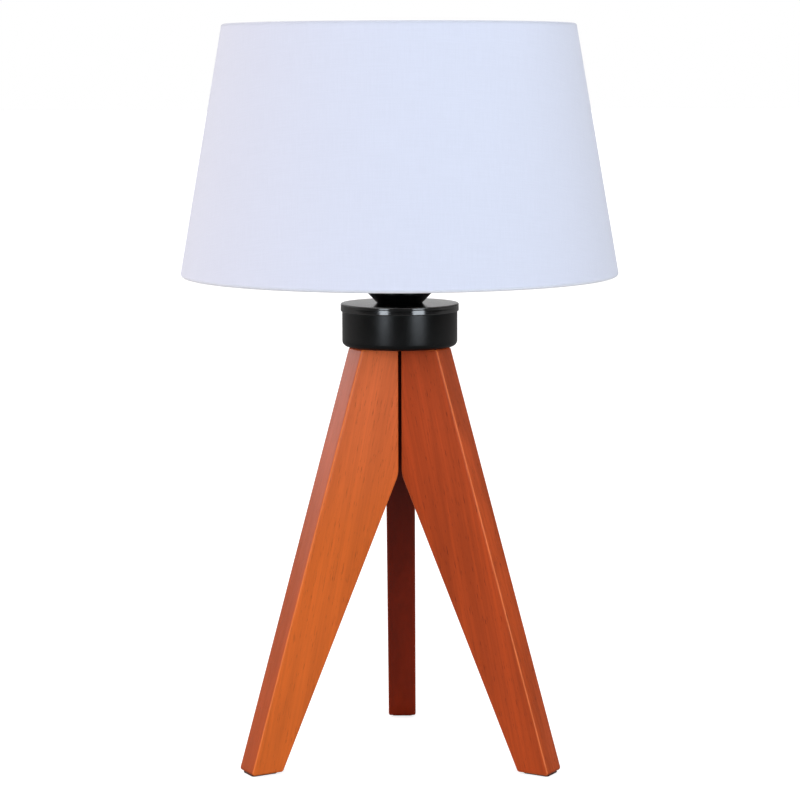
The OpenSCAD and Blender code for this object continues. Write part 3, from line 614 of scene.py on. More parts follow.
def cloth_finish(base, painted_fold_light, spacing, bottom, top):
    """Plain weave, from the cloth's flat coordinates in metres.

    Each thread is a half wave across its width. Where the product of the two waves is positive the
    upright thread lies on top, elsewhere the level one. Slubs are noise drawn out along the threads.
    Where the cloth turns under round the lower wire it is painted a paler colour, a painted light on the
    underside of the roll, and over its top roll it is painted darker, a painted shade.
    """
    f = Finish("shade_fabric", Roughness=0.9, Sheen_Weight=0.40, Sheen_Roughness=0.5,
               Sheen_Tint=(1.0, 0.98, 0.96), Specular_IOR_Level=0.2)
    flat = f.add("UVMap", {"uv_map": "cloth"}).outputs["UV"]
    thread = f.split(f.stretch(flat, (math.pi / spacing,) * 3))
    across, along = f.math("SINE", thread["X"]), f.math("SINE", thread["Y"])
    over = f.fit(f.math("MULTIPLY", across, along), -0.15, 0.15)
    upright, level = f.math("ABSOLUTE", across), f.math("ABSOLUTE", along)
    relief = f.math("ADD", level, f.math("MULTIPLY", f.math("SUBTRACT", upright, level), over))
    upright_slubs = f.noise(flat, (1300.0, 55.0, 1.0), 3.0, 0.6)
    level_slubs = f.noise(flat, (45.0, 1300.0, 1.0), 3.0, 0.6)
    slubs = f.math("MULTIPLY", f.math("ADD", upright_slubs, level_slubs), 0.5)
    tone = f.between(f.fit(slubs, 0.36, 0.64), base, 0.985, 1.015)
    tone = f.mix(f.fit(relief, 0.0, 0.75, 0.10, 0.0), tone, shade_of(base, 0.80))
    height = f.split(f.place())["Z"]
    # Painted light: the roll under the lower wire is painted paler
    tone = f.mix(f.fit(height, bottom + 0.0005, bottom + 0.0025, 1.0, 0.0), tone, painted_fold_light)
    # Painted shade: the top roll is painted darker
    tone = f.mix(f.fit(height, top - 0.0025, top - 0.0002), tone, shade_of(base, 0.76))
    return f.done(Base_Color=tone, Normal=f.bump(f.math("ADD", relief, slubs), 0.00010, 0.5))


# ---------------------------------------------------------------- operators

class LampOperator(bpy.types.Operator):
    """Common ground of the lamp's operators."""
    bl_options = {"REGISTER", "UNDO"}


class LAMP_OT_stage(LampOperator):
    """Camera, softboxes, surroundings and floor"""
    bl_idname = "lamp.stage"
    bl_label = "Stage"

    def execute(self, context):
        scene, stage = context.scene, context.scene.lamp_stage
        self.add_camera(scene, stage)
        for place, figures in SOFTBOXES.items():
            self.add_softbox(scene, "softbox_" + place, *figures, getattr(stage, place + "_power"))
        self.add_surroundings(scene, stage.surround)
        self.add_floor(scene)
        scene.view_settings.view_transform = "Standard"
        return {"FINISHED"}

    def add_camera(self, scene, stage):
        """A camera that looks at the lamp's axis from its distance, height, turn, tilt and roll."""
        data = bpy.data.cameras.new("camera")
        data.lens = stage.lens
        data.clip_end = 50.0
        camera = bpy.data.objects.new("camera", data)
        scene.collection.objects.link(camera)
        side = Vector((math.cos(stage.turn), math.sin(stage.turn), 0))
        ahead = Vector((-math.sin(stage.turn) * math.cos(stage.tilt),
                        math.cos(stage.turn) * math.cos(stage.tilt), -math.sin(stage.tilt)))
        up = side.cross(ahead)
        c, s = math.cos(stage.roll), math.sin(stage.roll)
        turned = Matrix((side * c + up * s, up * c - side * s, -ahead)).transposed()
        place = Vector((math.sin(stage.turn), -math.cos(stage.turn), 0)) * stage.distance
        camera.matrix_world = Matrix.Translation(place + Vector((0, 0, stage.height))) @ turned.to_4x4()
        scene.camera = camera

    def add_softbox(self, scene, name, turn, away, height, size, watts):
        """A soft light aimed at the lamp, turned about its axis from the camera's side."""
        data = bpy.data.lights.new(name, "AREA")
        data.shape = "RECTANGLE"
        data.size, data.size_y = size
        data.energy = watts
        data.color = SOFTBOX_COLOUR
        lamp = bpy.data.objects.new(name, data)
        scene.collection.objects.link(lamp)
        a = math.radians(turn)
        place = Vector((away * math.sin(a), -away * math.cos(a), height))
        lamp.location = place
        lamp.rotation_euler = (SOFTBOX_AIM - place).to_track_quat("-Z", "Y").to_euler()

    def add_surroundings(self, scene, level):
        """A white studio.

        The camera sees white. The light on the lamp changes with the direction round it: bluish and
        dim from the camera's side, bright from the left. Reflections see a dark front, a white back and
        a bright rear left side that fades out towards the floor.
        """
        scene.world = bpy.data.worlds.new("surroundings")
        scene.world.use_nodes = True
        n = Nodes(scene.world.node_tree)
        n.tree.nodes.clear()
        way = n.split(n.add("TexCoord").outputs["Generated"])
        share = n.fit(n.math("ARCTAN2", way["X"], way["Y"]), -math.pi, math.pi, kind="LINEAR")

        def band(stops, strength):
            """Light by direction: 0 and 1 are the lamp's front, 0.25 its left, 0.5 its back."""
            tones = n.add("ValToRGB", Fac=share)
            ramp = tones.color_ramp.elements
            ramp.remove(ramp[1])
            for order, (position, tone) in enumerate(stops):
                stop = ramp.new(position) if order else ramp[0]
                stop.position, stop.color = position, (*tone, 1)
            return n.add("Background", Color=tones.outputs["Color"], Strength=strength).outputs[0]

        front, left, right = (0.32, 0.33, 0.35), (2.80, 2.56, 2.50), (1.00, 1.00, 1.01)
        lighting = band([(0.0, front), (0.12, front), (0.25, left), (0.38, (1.0, 1.0, 1.0)),
                         (0.62, (0.8, 0.8, 0.8)), (0.75, right), (0.88, front), (1.0, front)], level)
        above_floor = n.fit(way["Z"], 0.04, 0.21, 0.08)
        behind = n.fit(way["Y"], 0.85, 0.95)
        mirror = band([(at, (tone,) * 3) for at, tone in (
            (0.0, 0.03), (0.14, 0.03), (0.22, 0.5), (0.28, 3.2), (0.40, 3.2), (0.46, 0.62),
            (0.55, 0.62), (0.60, 0.3), (0.70, 0.05), (1.0, 0.03))], n.math("MAXIMUM", above_floor, behind))
        white = n.add("Background", Color=(1.0, 1.0, 1.0)).outputs[0]
        ray = n.add("LightPath").outputs
        n.add("OutputWorld", Surface=n.choose(lighting, (ray["Is Glossy Ray"], mirror),
                                              (ray["Is Camera Ray"], white)))

    def add_floor(self, scene):
        """A level floor.

        It is white to the camera with the lamp's soft shadow, dark in reflections towards the front, and
        clear from below.
        """
        mesh = bpy.data.meshes.new("floor")
        side = 30.0
        mesh.from_pydata([(-side, -side, 0), (side, -side, 0), (side, side, 0), (-side, side, 0)], [],
                         [(0, 1, 2, 3)])
        floor = bpy.data.objects.new("floor", mesh)
        floor.location.z = -0.0002
        scene.collection.objects.link(floor)
        material = bpy.data.materials.new("floor_white")
        material.use_nodes = True
        mesh.materials.append(material)
        n = Nodes(material.node_tree)
        n.tree.nodes.clear()
        fade = n.fit(n.split(n.place())["Y"], -1.2, 0.0, 0.06, 0.24, "LINEAR")
        pale, grey, dark = (n.add("BsdfDiffuse", Color=tone).outputs[0]
                            for tone in ((0.5,) * 3, (0.35,) * 3, fade))
        both = n.add("AddShader")
        n.set(both, {0: n.add("Emission", Strength=0.75).outputs[0], 1: pale})
        clear = n.add("BsdfTransparent").outputs[0]
        ray = n.add("LightPath").outputs
        n.add("OutputMaterial", Surface=n.choose(
            grey, (ray["Is Glossy Ray"], dark), (ray["Is Camera Ray"], both.outputs[0]),
            (n.add("NewGeometry").outputs["Backfacing"], clear)))


class LAMP_OT_legs(LampOperator):
    """The three legs: boards with rounded edges that turn upright under the hub"""
    bl_idname = "lamp.legs"
    bl_label = "Legs"

    def execute(self, context):
        sizes, colours = context.scene.lamp_legs, context.scene.lamp_colours
        for order, (place, turn) in enumerate(LEG_TURNS.items()):
            base, edge = getattr(colours, "wood_" + place), getattr(colours, "edge_" + place)
            finish = wood_finish("wood_" + place, base, edge, **FIGURE_AND_PAINTED_LIGHT[place])
            surface, sides, marks = self.leg(sizes, math.radians(turn), order)
            add_piece("wooden_leg_" + place, surface, finish, "root", "leg_" + place, sides,
                      marks=marks)
        return {"FINISHED"}

    def leg(self, sizes, turn, order):
        """The board's outline in (distance from the axis, height), moved inwards and sideways in rows.

        Across the board the rows run over a flat side, a quarter round of radius edge_round, the rim
        face, a second quarter round and the other side: inset = edge * (1 - sin t) and
        offset = half - edge + edge * cos t. Board coordinates are along, across and through the grain.
        The lighter edge mark is strongest in the middle of the rounding. It is partly wear and partly a
        painted highlight, so it is weak on the shaded edge away from the front and on the rear leg's face
        which the front legs shade. The rim mark is on the narrow face to the front, and on the rear leg it
        takes in the rounded edges too, for the painted shade there.
        """
        (_, top_in, z0), (_, foot_out, z1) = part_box("leg_rear")
        outline = [(foot_out - sizes.foot_width, z0), (foot_out, z0), (top_in + sizes.top_width, z1),
                   (top_in, z1), (top_in, z0 + sizes.turn_height)]
        radii = [sizes.corner_round] * 4 + [sizes.turn_round]
        centre, way, radius = corner_arcs(outline, radii, 9, True)
        edge, half, flat_row = sizes.edge_round, sizes.board / 2, 0.0004
        t = np.linspace(0, np.pi / 2, 7)
        # 1 for the rear leg, which stands in the front legs' shade, 0 for the front legs; the painted shade
        # and the weaker highlight follow it
        front_legs_shade = max(math.sin(turn), 0.0)

        def rows(flat, around, first=1):
            """A value over the rows: on a flat side, a round, the other round and side.

            first multiplies it on the first side and round.
            """
            return np.concatenate([[first * flat], first * around, around[::-1], [flat]])

        inset = rows(edge + flat_row, edge * (1 - np.sin(t)))
        offset = rows(half, half - edge + edge * np.cos(t), -1)
        # The rim mark carries painted shade and painted sheen on the narrow front face
        rim = rows(0, np.maximum(np.sin(t) ** 4, front_legs_shade))
        # Lighter edges: wear and a painted highlight, weaker on the edge away from the front
        worn = rows(0, np.sin(2 * t) ** 4) * np.where(np.sign(offset) * np.cos(turn) > 0.1, 0.2, 1.0)
        front = np.clip(-3 * way[:, 0] * np.sin(turn), 0, 1)
        line = centre + (radius - inset[:, None, None]) * way
        r, z = line[..., 0], line[..., 1]
        s = offset[:, None] + 0 * r
        c, d = np.cos(sizes.grain_slope), np.sin(sizes.grain_slope)
        board = np.stack([z * c - r * d, r * c + z * d, s], 2) + order * np.array(GRAIN_SHIFT)
        marks = {"board": board.reshape(-1, 3), "worn": np.outer(worn, 1 - 0.9 * front_legs_shade * front).ravel(),
                 "rim": np.outer(rim, front).ravel()}
        ends = np.arange(r.size).reshape(r.shape)
        return tube(r, s, z, turn), [ends[0, ::-1], ends[-1]], marks


class LAMP_OT_pads(LampOperator):
    """The felt pads under the feet"""
    bl_idname = "lamp.pads"
    bl_label = "Foot pads"

    def execute(self, context):
        sizes, colours = context.scene.lamp_legs, context.scene.lamp_colours
        finish = felt_finish(colours.felt)
        for place, turn in LEG_TURNS.items():
            add_piece("felt_pad_" + place, self.pad(sizes, math.radians(turn)), finish, "root",
                      "foot_pad_" + place)
        return {"FINISHED"}

    def pad(self, sizes, turn):
        """A rounded rectangle in rows up its side, moved in by a quarter round at both edges."""
        (x0, y0, z0), (x1, y1, z1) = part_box("foot_pad_rear")
        outline = [(y0, x0), (y1, x0), (y1, x1), (y0, x1)]
        centre, way, radius = corner_arcs(outline, sizes.pad_corner, 8, True)
        t = np.linspace(0, np.pi / 2, 5)
        inset, rise = sizes.pad_edge * (1 - np.sin(t)), sizes.pad_edge * (1 - np.cos(t))
        line = centre + (radius - np.concatenate([inset, inset[::-1]])[:, None, None]) * way
        heart = line[:1] * 0 + np.array([(y0 + y1) / 2, 0.0])
        line = np.concatenate([heart, line, heart])
        height = np.concatenate([[z0], z0 + rise, z1 - rise[::-1], [z1]])
        return tube(line[..., 0], line[..., 1], height[:, None], turn)


class LAMP_OT_hub(LampOperator):
    """The pressed cup and its lid"""
    bl_idname = "lamp.hub"
    bl_label = "Hub"

    def execute(self, context):
        sizes, black = context.scene.lamp_hub, context.scene.lamp_colours.hub
        # Painted shade: the cup's lowest 6 mm have their reflection turned down
        satin = black_coat_finish("hub_black_satin", black, roughness=0.31, shine=0.42, index=1.5,
                                  shaded_below=low("hub_can").z + 0.006)
        gloss = black_coat_finish("hub_black_gloss", black, roughness=0.14, shine=0.9, index=1.7,
                                  shaded_below=low("hub_lid").z)
        add_piece("hub_cup", self.cup(sizes), satin, "root", "hub_can")
        add_piece("hub_cover_plate", self.lid(sizes), gloss, "root", "hub_lid")
        return {"FINISHED"}

    def cup(self, sizes):
        """A pressed cup spun about the axis, of even thickness."""
        r, z0, z1 = turned_box("hub_can")
        t, outer = sizes.metal, sizes.cup_round
        return spin(rounded([(0, z0), (r, z0), (r, z1), (r - t, z1), (r - t, z0 + t), (0, z0 + t)],
                            [outer, 0.0002, 0.0002, outer - t], 8))

    def lid(self, sizes):
        """A lid with a skirt spun about the axis, its skirt half a millimetre short of the node's."""
        r, z0, z1 = turned_box("hub_lid")
        t, hole, rim = sizes.metal, sizes.lid_hole, z0 + 0.0005
        line = rounded([(hole, z1), (r, z1), (r, rim), (r - t, rim), (r - t, z1 - t), (hole, z1 - t)],
                       [0.0001, sizes.lid_round / 2, 0.0006, 0.00025, sizes.lid_round - t, 0.0001],
                       8, True)

        def hollow(turn, radius, height):
            """A faint hollow round the skirt: a bell curve of the height."""
            outer = smooth_step((radius - r + 0.0003) / 0.0002)
            return -0.00007 * outer * np.exp(-((height - z1 + 0.0022) / 0.0007) ** 2)

        return spin(finer(line, 0.0003, True), True, change=hollow)


class LAMP_OT_gland(LampOperator):
    """The cord gland at the back of the hub"""
    bl_idname = "lamp.gland"
    bl_label = "Cord gland"

    def execute(self, context):
        sizes, colours = context.scene.lamp_hub, context.scene.lamp_colours
        finish = moulded_finish("gland_black", shade_of(colours.holder, 1.3), 0.45)
        add_piece("cord_gland_body", self.gland(sizes), finish, "root", "cord_gland")
        finish_node("gland_nut", finish)
        return {"FINISHED"}

    def gland(self, sizes):
        """A flanged bush spun about its own axis, which lies along +Y."""
        (x0, y0, z0), (x1, y1, z1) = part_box("cord_gland")
        bore, barrel, flange = sizes.gland_bore, sizes.gland_barrel, (x1 - x0) / 2
        wall = high("hub_can").x
        line = rounded([(bore, y0), (barrel, y0), (barrel, wall), (flange, wall), (flange, y1),
                        (bore + 0.0008, y1), (bore, y1 - 0.0015)],
                       [0.0003, 0.0003, 0.0002, 0.0003, 0.0009, 0.0006, 0.0008], 6, True)
        co, faces = spin(line, True, 96)
        return np.stack([co[:, 0], co[:, 2], co[:, 1] + (z0 + z1) / 2], 1), faces


class LAMP_OT_fittings(LampOperator):
    """Finishes of the bolts, plate, tube and contacts, which keep their shapes"""
    bl_idname = "lamp.fittings"
    bl_label = "Fittings"

    def execute(self, context):
        colours = context.scene.lamp_colours
        brass = metal_finish("brass", colours.brass, 0.30, 0.5)
        steel = metal_finish("zinc_steel", colours.steel, 0.34, 0.4)
        for node in ("leg_inserts", "threaded_tube", "tube_lock_nut", "screw_shell", "terminal_blocks",
                     "contact_strap", "centre_contact"):
            finish_node(node, brass)
        for node in ("leg_bolts", "bolt_washers", "leg_plate", "terminal_screws", "contact_spring"):
            finish_node(node, steel)
        finish_node("holder_core", moulded_finish("core_ceramic", colours.core, 0.25))
        return {"FINISHED"}


class LAMP_OT_holder(LampOperator):
    """The lampholder: its flared cap, its threaded sleeve and the ribbed shade ring"""
    bl_idname = "lamp.holder"
    bl_label = "Lampholder"

    def execute(self, context):
        sizes, colours = context.scene.lamp_holder, context.scene.lamp_colours
        finish = moulded_finish("holder_black", colours.holder, 0.33, Specular_IOR_Level=0.2)
        for name, node, body, make in (("holder_flared_cap", "holder_cap", "root", self.cap),
                                       ("holder_threaded_sleeve", "holder_sleeve", "root", self.sleeve),
                                       ("shade_ribbed_ring", "shade_ring", "shade_ring", self.ring)):
            add_piece(name, make(sizes), finish, body, node)
        return {"FINISHED"}

    def cap(self, sizes):
        """A flared cup spun about the axis, with its inner step and the boss round the tube."""
        r, z0, z1 = turned_box("holder_cap")
        foot, bore, boss = sizes.foot_radius, sizes.tube_hole, sizes.boss_radius
        inner = r - sizes.cap_wall
        ledge, step = inner - sizes.step_width, z0 + sizes.step_height
        floor, boss_top = z0 + sizes.cap_floor, z0 + sizes.boss_height
        line = rounded([(bore, z0), (foot, z0), (r, z0 + sizes.flare_height), (r, z1), (inner, z1),
                        (inner, step), (ledge, step), (ledge, floor + 0.0012),
                        (foot - sizes.cap_wall, floor), (boss, floor), (boss, boss_top),
                        (bore, boss_top)],
                       [0.0001, 0.0003, 0.0009, 0.0005, 0.0004, 0.0002, 0.0002, 0.0003, 0.0003, 0.0003,
                        0.0002, 0.0002], 7, True)
        return spin(line, True)

    def sleeve(self, sizes):
        """A tube spun about the axis, less the groove of a rounded thread outside above the cap."""
        r, z0, z1 = turned_box("holder_sleeve")
        inner, core = r - sizes.sleeve_wall, high("holder_core").z
        lip, cover = inner - 0.0016, core + 0.0012
        start, end = high("holder_cap").z + 0.002, z1 - 0.0022
        line = rounded([(r, z0), (r, z1), (inner, z1), (inner, cover), (lip, cover), (lip, core),
                        (inner, core), (inner, z0)],
                       [0.0002, 0.0005, 0.0005, 0.0002, 0.0002, 0.0001, 0.0001, 0.0002], 5, True)

        def thread(turn, radius, height):
            groove = helix_groove(turn, height, sizes.thread_pitch, start, end)
            return -sizes.thread_depth * (radius > r - 0.00002) * groove

        return spin(finer(line, 0.0003, True), True, change=thread)

    def ring(self, sizes):
        """A flanged collar spun about the axis, with ribs outside the collar.

        A rib is the root of half of 1 + cos of ribs times the angle, so its crest is broad.
        """
        flange, z0, z1 = turned_box("shade_ring")
        bore, collar, lip = high("holder_sleeve").x + 0.0001, sizes.ring_collar, z0 + sizes.ring_flange
        line = rounded([(bore, z0), (flange, z0), (flange, lip), (collar, lip), (collar, z1),
                        (bore + 0.0008, z1), (bore, z1 - 0.0008)],
                       [0.0003, 0.0006, 0.0006, 0.0005, 0.0006, 0.0003, 0.0004], 6, True)

        def ribs(turn, radius, height):
            wave = 0.5 + 0.5 * np.cos(sizes.ribs * turn)
            outside = smooth_step((radius - collar + 0.0012) / 0.0012)
            above = smooth_step((height - lip) / 0.0006)
            fade = 0.35 + 0.65 * smooth_step((z1 - height) / 0.0009)
            return sizes.rib_depth * wave ** 0.5 * outside * above * fade

        return spin(finer(line, 0.0006, True), True, 24 * 20, ribs)


class LAMP_OT_bulb(LampOperator):
    """The bulb: solder tip, insulator, rolled screw cap, flared body and opal globe"""
    bl_idname = "lamp.bulb"
    bl_label = "Bulb"

    def execute(self, context):
        sizes, colours = context.scene.lamp_bulb, context.scene.lamp_colours
        metal = metal_finish("bulb_metal", colours.bulb_metal, 0.30, 0.25)
        black = moulded_finish("bulb_insulator_black", colours.bulb_black, 0.12)
        white = moulded_finish("bulb_body_white", colours.bulb_body, 0.42)
        opal = moulded_finish("bulb_opal", colours.bulb_globe, 0.30, Subsurface_Weight=0.25,
                              Subsurface_Radius=(0.004, 0.004, 0.004))
        parts = (("bulb_solder_tip", "bulb_tip", "bulb_metal", metal, self.tip),
                 ("bulb_glass_insulator", "bulb_insulator", "bulb_insulator_black", black, self.insulator),
                 ("bulb_screw_cap", "bulb_cap", "bulb_metal", metal, self.screw_cap),
                 ("bulb_flared_body", "bulb_body", "bulb_body_white", white, self.body),
                 ("bulb_opal_globe", "bulb_globe", "bulb_opal", opal, self.globe))
        for name, node, slot, finish, make in parts:
            add_piece(name, make(sizes), finish, "bulb", node)
        return {"FINISHED"}

    def tip(self, sizes):
        """A low dome of solder: a quarter ellipse spun about the axis."""
        r, z0, z1 = turned_box("bulb_tip")
        t = np.linspace(0, np.pi / 2, 14)
        dome = np.stack([r * np.sin(t), z1 - (z1 - z0) * np.cos(t)], 1)
        return spin(np.concatenate([dome, [(0, z1)]]), steps=72)

    def insulator(self, sizes):
        """A glass cone, slightly hollowed, spun about the axis."""
        r, z0, z1 = turned_box("bulb_insulator")
        tip = high("bulb_tip").x + 0.0006
        t = np.linspace(0, 1, 16)
        cone = np.stack([tip + (r - tip) * t ** 1.15, z0 + (z1 - z0) * t], 1)
        return spin(np.concatenate([[(0, z0)], cone, [(0, z1)]]), steps=96)

    def screw_cap(self, sizes):
        """A drawn cap spun about the axis, less the groove of a rounded screw thread."""
        r, z0, z1 = turned_box("bulb_cap")
        line = rounded([(0, z0), (r - 0.002, z0), (r, z0 + sizes.slope), (r, z1), (0, z1)],
                       [0.0003, 0.0008, 0.0003], 6)

        def thread(turn, radius, height):
            groove = helix_groove(turn, height, sizes.pitch, z0 + 0.002, z1 - 0.0028)
            return -sizes.depth * smooth_step((radius - r + 0.0008) / 0.0004) * groove

        return spin(finer(line, 0.0003), steps=144, change=thread)

    def body(self, sizes):
        """The body's lip and flare spun about the axis, with a fine groove under the globe."""
        r, z0, z1 = turned_box("bulb_body")
        neck, groove = high("bulb_cap").x + 0.0006, r - 0.0006
        return spin(rounded([(0, z0), (neck, z0), (neck, z0 + 0.0015), (r, z1 - 0.0009),
                             (groove, z1 - 0.0007), (groove, z1), (0, z1)],
                            [0.0004, 0.004, 0.0003, 0.0002, 0.0002], 6))

    def globe(self, sizes):
        """Two spheres a wall apart, cut level at the joint: radius cos t and height sin t."""
        outer, z0, z1 = turned_box("bulb_globe")
        middle, inner = z1 - outer, outer - sizes.globe_wall
        from_in, from_out = (np.arcsin((z0 - middle) / r) for r in (inner, outer))
        t_in, t_out = np.linspace(np.pi / 2, from_in, 60), np.linspace(from_out, np.pi / 2, 70)
        line = np.concatenate([np.stack([r * np.cos(t), middle + r * np.sin(t)], 1)
                               for r, t in ((inner, t_in), (outer, t_out))])
        line[[0, -1], 0] = 0
        return spin(line)


class LAMP_OT_shade_frame(LampOperator):
    """The shade's centre ring, three spokes and two wire rings"""
    bl_idname = "lamp.shade_frame"
    bl_label = "Shade frame"

    def execute(self, context):
        sizes, colours = context.scene.lamp_shade, context.scene.lamp_colours
        finish = coated_wire_finish(colours.frame)
        parts = {"centre": ("shade_centre_ring", self.centre_ring())}
        for place, turn in SPOKE_TURNS.items():
            parts["spoke_" + place] = ("shade_spoke_" + place, self.spoke(sizes, math.radians(turn)))
        for place in ("bottom", "top"):
            node = f"shade_{place}_wire"
            parts[place + "_ring"] = (node, self.wire_ring(sizes, node))
        for name, (node, surface) in parts.items():
            add_piece("shade_frame_" + name, surface, finish, "shade", node)
        return {"FINISHED"}

    def centre_ring(self):
        """A flat ring spun about the axis, with room round the sleeve."""
        outer, z0, z1 = turned_box("shade_centre_ring")
        bore = high("holder_sleeve").x + 0.0006
        return spin(rounded([(bore, z0), (outer, z0), (outer, z1), (bore, z1)], 0.00045, 6, True), True)

    def wire_ring(self, sizes, node):
        """A round wire bent to a ring."""
        outer, z0, z1 = turned_box(node)
        t = np.linspace(0, 2 * np.pi, 20, endpoint=False)
        return spin(np.stack([outer - sizes.wire + sizes.wire * np.cos(t),
                              (z0 + z1) / 2 + sizes.wire * np.sin(t)], 1), True, SHADE_STEPS)

    def spoke(self, sizes, turn):
        """A round wire along a radius of the shade, with a weld swelling it a little at each end.

        Its radius is wire * (1 + 0.1 * exp(-(d / 2 mm) squared)), d being the distance from an end, and
        it closes at both ends in a quarter round.
        """
        (x0, _, z0), (_, _, z1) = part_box("shade_bottom_wire")
        start, end = 0.0272, -x0 - 2 * sizes.wire - AIR
        t = np.linspace(0, np.pi / 2, 6)
        close = 0.0006 * (1 - np.cos(t))
        along = np.concatenate([start + close, np.linspace(start + 0.001, end - 0.001, 60),
                                (end - close)[::-1]])
        share = np.concatenate([np.sin(t), np.ones(60), np.sin(t)[::-1]])
        near = np.minimum(along - start, end - along)
        radius = (sizes.wire * share * (1 + 0.1 * np.exp(-(near / 0.002) ** 2)))[:, None]
        a = np.linspace(0, 2 * np.pi, 24, endpoint=False)[None]
        return tube(along[:, None] + 0 * a, radius * np.cos(a), (z0 + z1) / 2 + radius * np.sin(a), turn)


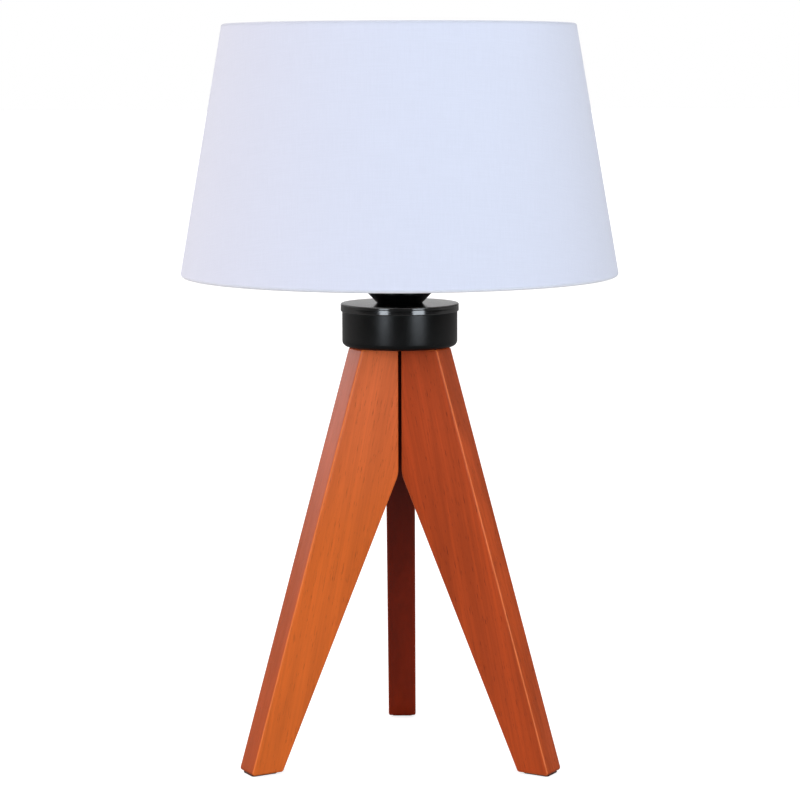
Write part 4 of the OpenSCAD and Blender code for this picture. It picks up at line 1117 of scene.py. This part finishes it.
class LAMP_OT_shade_cover(LampOperator):
    """The cloth cover, rolled round the wire rings, and the stiff liner inside it"""
    bl_idname = "lamp.shade_cover"
    bl_label = "Shade cover and liner"

    def execute(self, context):
        sizes, colours = context.scene.lamp_shade, context.scene.lamp_colours
        surface, cloth, flat, area = self.cover(sizes)
        heights = surface[0][:, 2]
        finish = cloth_finish(colours.cloth, colours.painted_fold_light, sizes.thread, float(heights.min()),
                              float(heights.max()))
        cover = add_piece("shade_cloth_cover", surface, finish, "shade", "shade_cover",
                          sharp=30.0, cloth=cloth)
        add_piece("shade_stiff_liner", self.liner(sizes), film_finish(colours.liner), "shade",
                  "shade_liner")
        return {"FINISHED"}

    def wires(self, sizes):
        """Middles of the lower and the upper wire, as (radius, height)."""
        return [np.array([high(node).x - sizes.wire, low(node).z + sizes.wire])
                for node in ("shade_bottom_wire", "shade_top_wire")]

    def slant(self, sizes):
        """The cloth's outer surface in section.

        Gives its taper, how much longer it is than upright, its radius at a height and the outer radius
        of its roll round a wire.
        """
        low_wire, high_wire = self.wires(sizes)
        taper = (low_wire[0] - high_wire[0]) / (high_wire[1] - low_wire[1])
        longer = math.hypot(1, taper)
        hem = sizes.wire + AIR + sizes.cloth
        at_wire = low_wire[0] + (hem - sizes.hem_proud) * longer

        def radius(z):
            return at_wire - (z - low_wire[1]) * taper

        return taper, longer, radius, hem

    def cover(self, sizes):
        """One line carried round the axis.

        Its middle runs up the inside of the lower hem, round the lower wire, straight up the slant,
        round the upper wire and down its inside. The cloth's thickness is laid on both sides of it. The
        flat coordinates are those of the cone laid out level: distance from its tip and angle times the
        sine of its half angle. Rows close to both rolls keep their rounded shading off the slant.
        """
        taper, longer, radius, hem = self.slant(sizes)
        low_wire, high_wire = self.wires(sizes)
        tilt = math.atan(taper)
        out = np.array([math.cos(tilt), math.sin(tilt)])
        up = np.array([-math.sin(tilt), math.cos(tilt)])
        roll = hem - sizes.cloth / 2
        reach = math.acos((roll - sizes.hem_proud) / roll)
        t = np.linspace(np.pi, 2 * np.pi + reach, 34)[:, None]
        low_roll = low_wire + roll * (np.cos(t) * out + np.sin(t) * up)
        high_roll = high_wire + roll * (np.cos(t) * out - np.sin(t) * up)
        step = np.concatenate([[0.002], np.linspace(0, 1, 40)[1:-1], [0.998]])[:, None]
        wall = low_roll[-1] + step * (high_roll[-1] - low_roll[-1])
        middle = np.concatenate([low_roll[:1] + HEM_TUCK * up, low_roll, wall, high_roll[::-1],
                                 high_roll[:1] - HEM_TUCK * up])
        line = thick_line(middle, sizes.cloth)
        lap = sizes.seam_lap / high("shade_cover").x

        def seam(turn, r, z):
            """The lap at the back, on the outside only, which fades out over its borders."""
            outer = r > radius(z) - 0.0002
            off = np.abs((turn - np.pi / 2 + np.pi) % (2 * np.pi) - np.pi)
            return sizes.seam_proud * outer * (1 - smooth_step((off - lap / 2) / 0.004))

        tip, sine = radius(0) / taper, taper / longer
        from_tip = np.hypot(line[:, 0], tip - line[:, 1])

        def cloth(corner):
            """Flat coordinates of face corners by their point's number, cut at the seam."""
            i, j = corner // len(line), corner % len(line)
            turn = (2 * np.pi * i / SHADE_STEPS - np.pi / 2 + 2 * np.pi) % (2 * np.pi)
            quads = turn.reshape(-1, 4)
            wraps = quads.max(1, keepdims=True) - quads.min(1, keepdims=True) > np.pi
            quads = np.where(wraps & (quads < np.pi), quads + 2 * np.pi, quads).ravel()
            turned = (quads - np.pi) * sine
            return np.stack([from_tip[j] * np.sin(turned), from_tip[j] * np.cos(turned)], 1)

        path = np.linalg.norm(np.diff(middle, axis=0), axis=1)
        area = float((path * (middle[1:, 0] + middle[:-1, 0])).sum() * np.pi)
        past_wire = (path.sum() - np.hypot(*(low_wire - high_wire))) / 2
        outside = np.hypot(radius(low_wire[1]), tip - low_wire[1]) + past_wire
        half = np.pi * sine
        flat = 2 * outside * math.sin(half), outside - (outside - path.sum()) * math.cos(half)
        return spin(line, True, SHADE_STEPS, seam), cloth, flat, area

    def liner(self, sizes):
        """A thin cone wall inside the cloth, spun about the axis."""
        _, longer, radius, _ = self.slant(sizes)
        z0, z1 = low("shade_liner").z, high("shade_liner").z
        outer = (sizes.cloth + AIR) * longer
        inner = outer + sizes.liner * longer
        line = rounded([(radius(z0) - outer, z0), (radius(z1) - outer, z1), (radius(z1) - inner, z1),
                        (radius(z0) - inner, z0)], 0.0001, 4, True)
        return spin(line, True, SHADE_STEPS)


class LAMP_PT_sidebar(bpy.types.Panel):
    """The lamp's sizes, colours and builders"""
    bl_label = "Tripod table lamp"
    bl_idname = "LAMP_PT_sidebar"
    bl_space_type = "VIEW_3D"
    bl_region_type = "UI"
    bl_category = "Lamp"

    def draw(self, context):
        for setting, group in SETTINGS.items():
            box = self.layout.box()
            box.label(text=group.__doc__)
            for name in group.__annotations__:
                box.prop(getattr(context.scene, setting), name)
        for operator in OPERATORS:
            self.layout.operator(operator.bl_idname)


OPERATORS = (LAMP_OT_stage, LAMP_OT_legs, LAMP_OT_pads, LAMP_OT_hub, LAMP_OT_gland, LAMP_OT_fittings,
             LAMP_OT_holder, LAMP_OT_bulb, LAMP_OT_shade_frame, LAMP_OT_shade_cover)


def register():
    for cls in (*SETTINGS.values(), *OPERATORS, LAMP_PT_sidebar):
        bpy.utils.register_class(cls)
    for setting, group in SETTINGS.items():
        setattr(bpy.types.Scene, setting, PointerProperty(type=group))


def unregister():
    for setting in SETTINGS:
        delattr(bpy.types.Scene, setting)
    for cls in (LAMP_PT_sidebar, *reversed(OPERATORS), *SETTINGS.values()):
        bpy.utils.unregister_class(cls)


def main():
    """Registers the add-on and builds the lamp."""
    register()
    for operator in OPERATORS:
        group, name = operator.bl_idname.split(".")
        getattr(getattr(bpy.ops, group), name)()


if __name__ == "__main__":
    main()
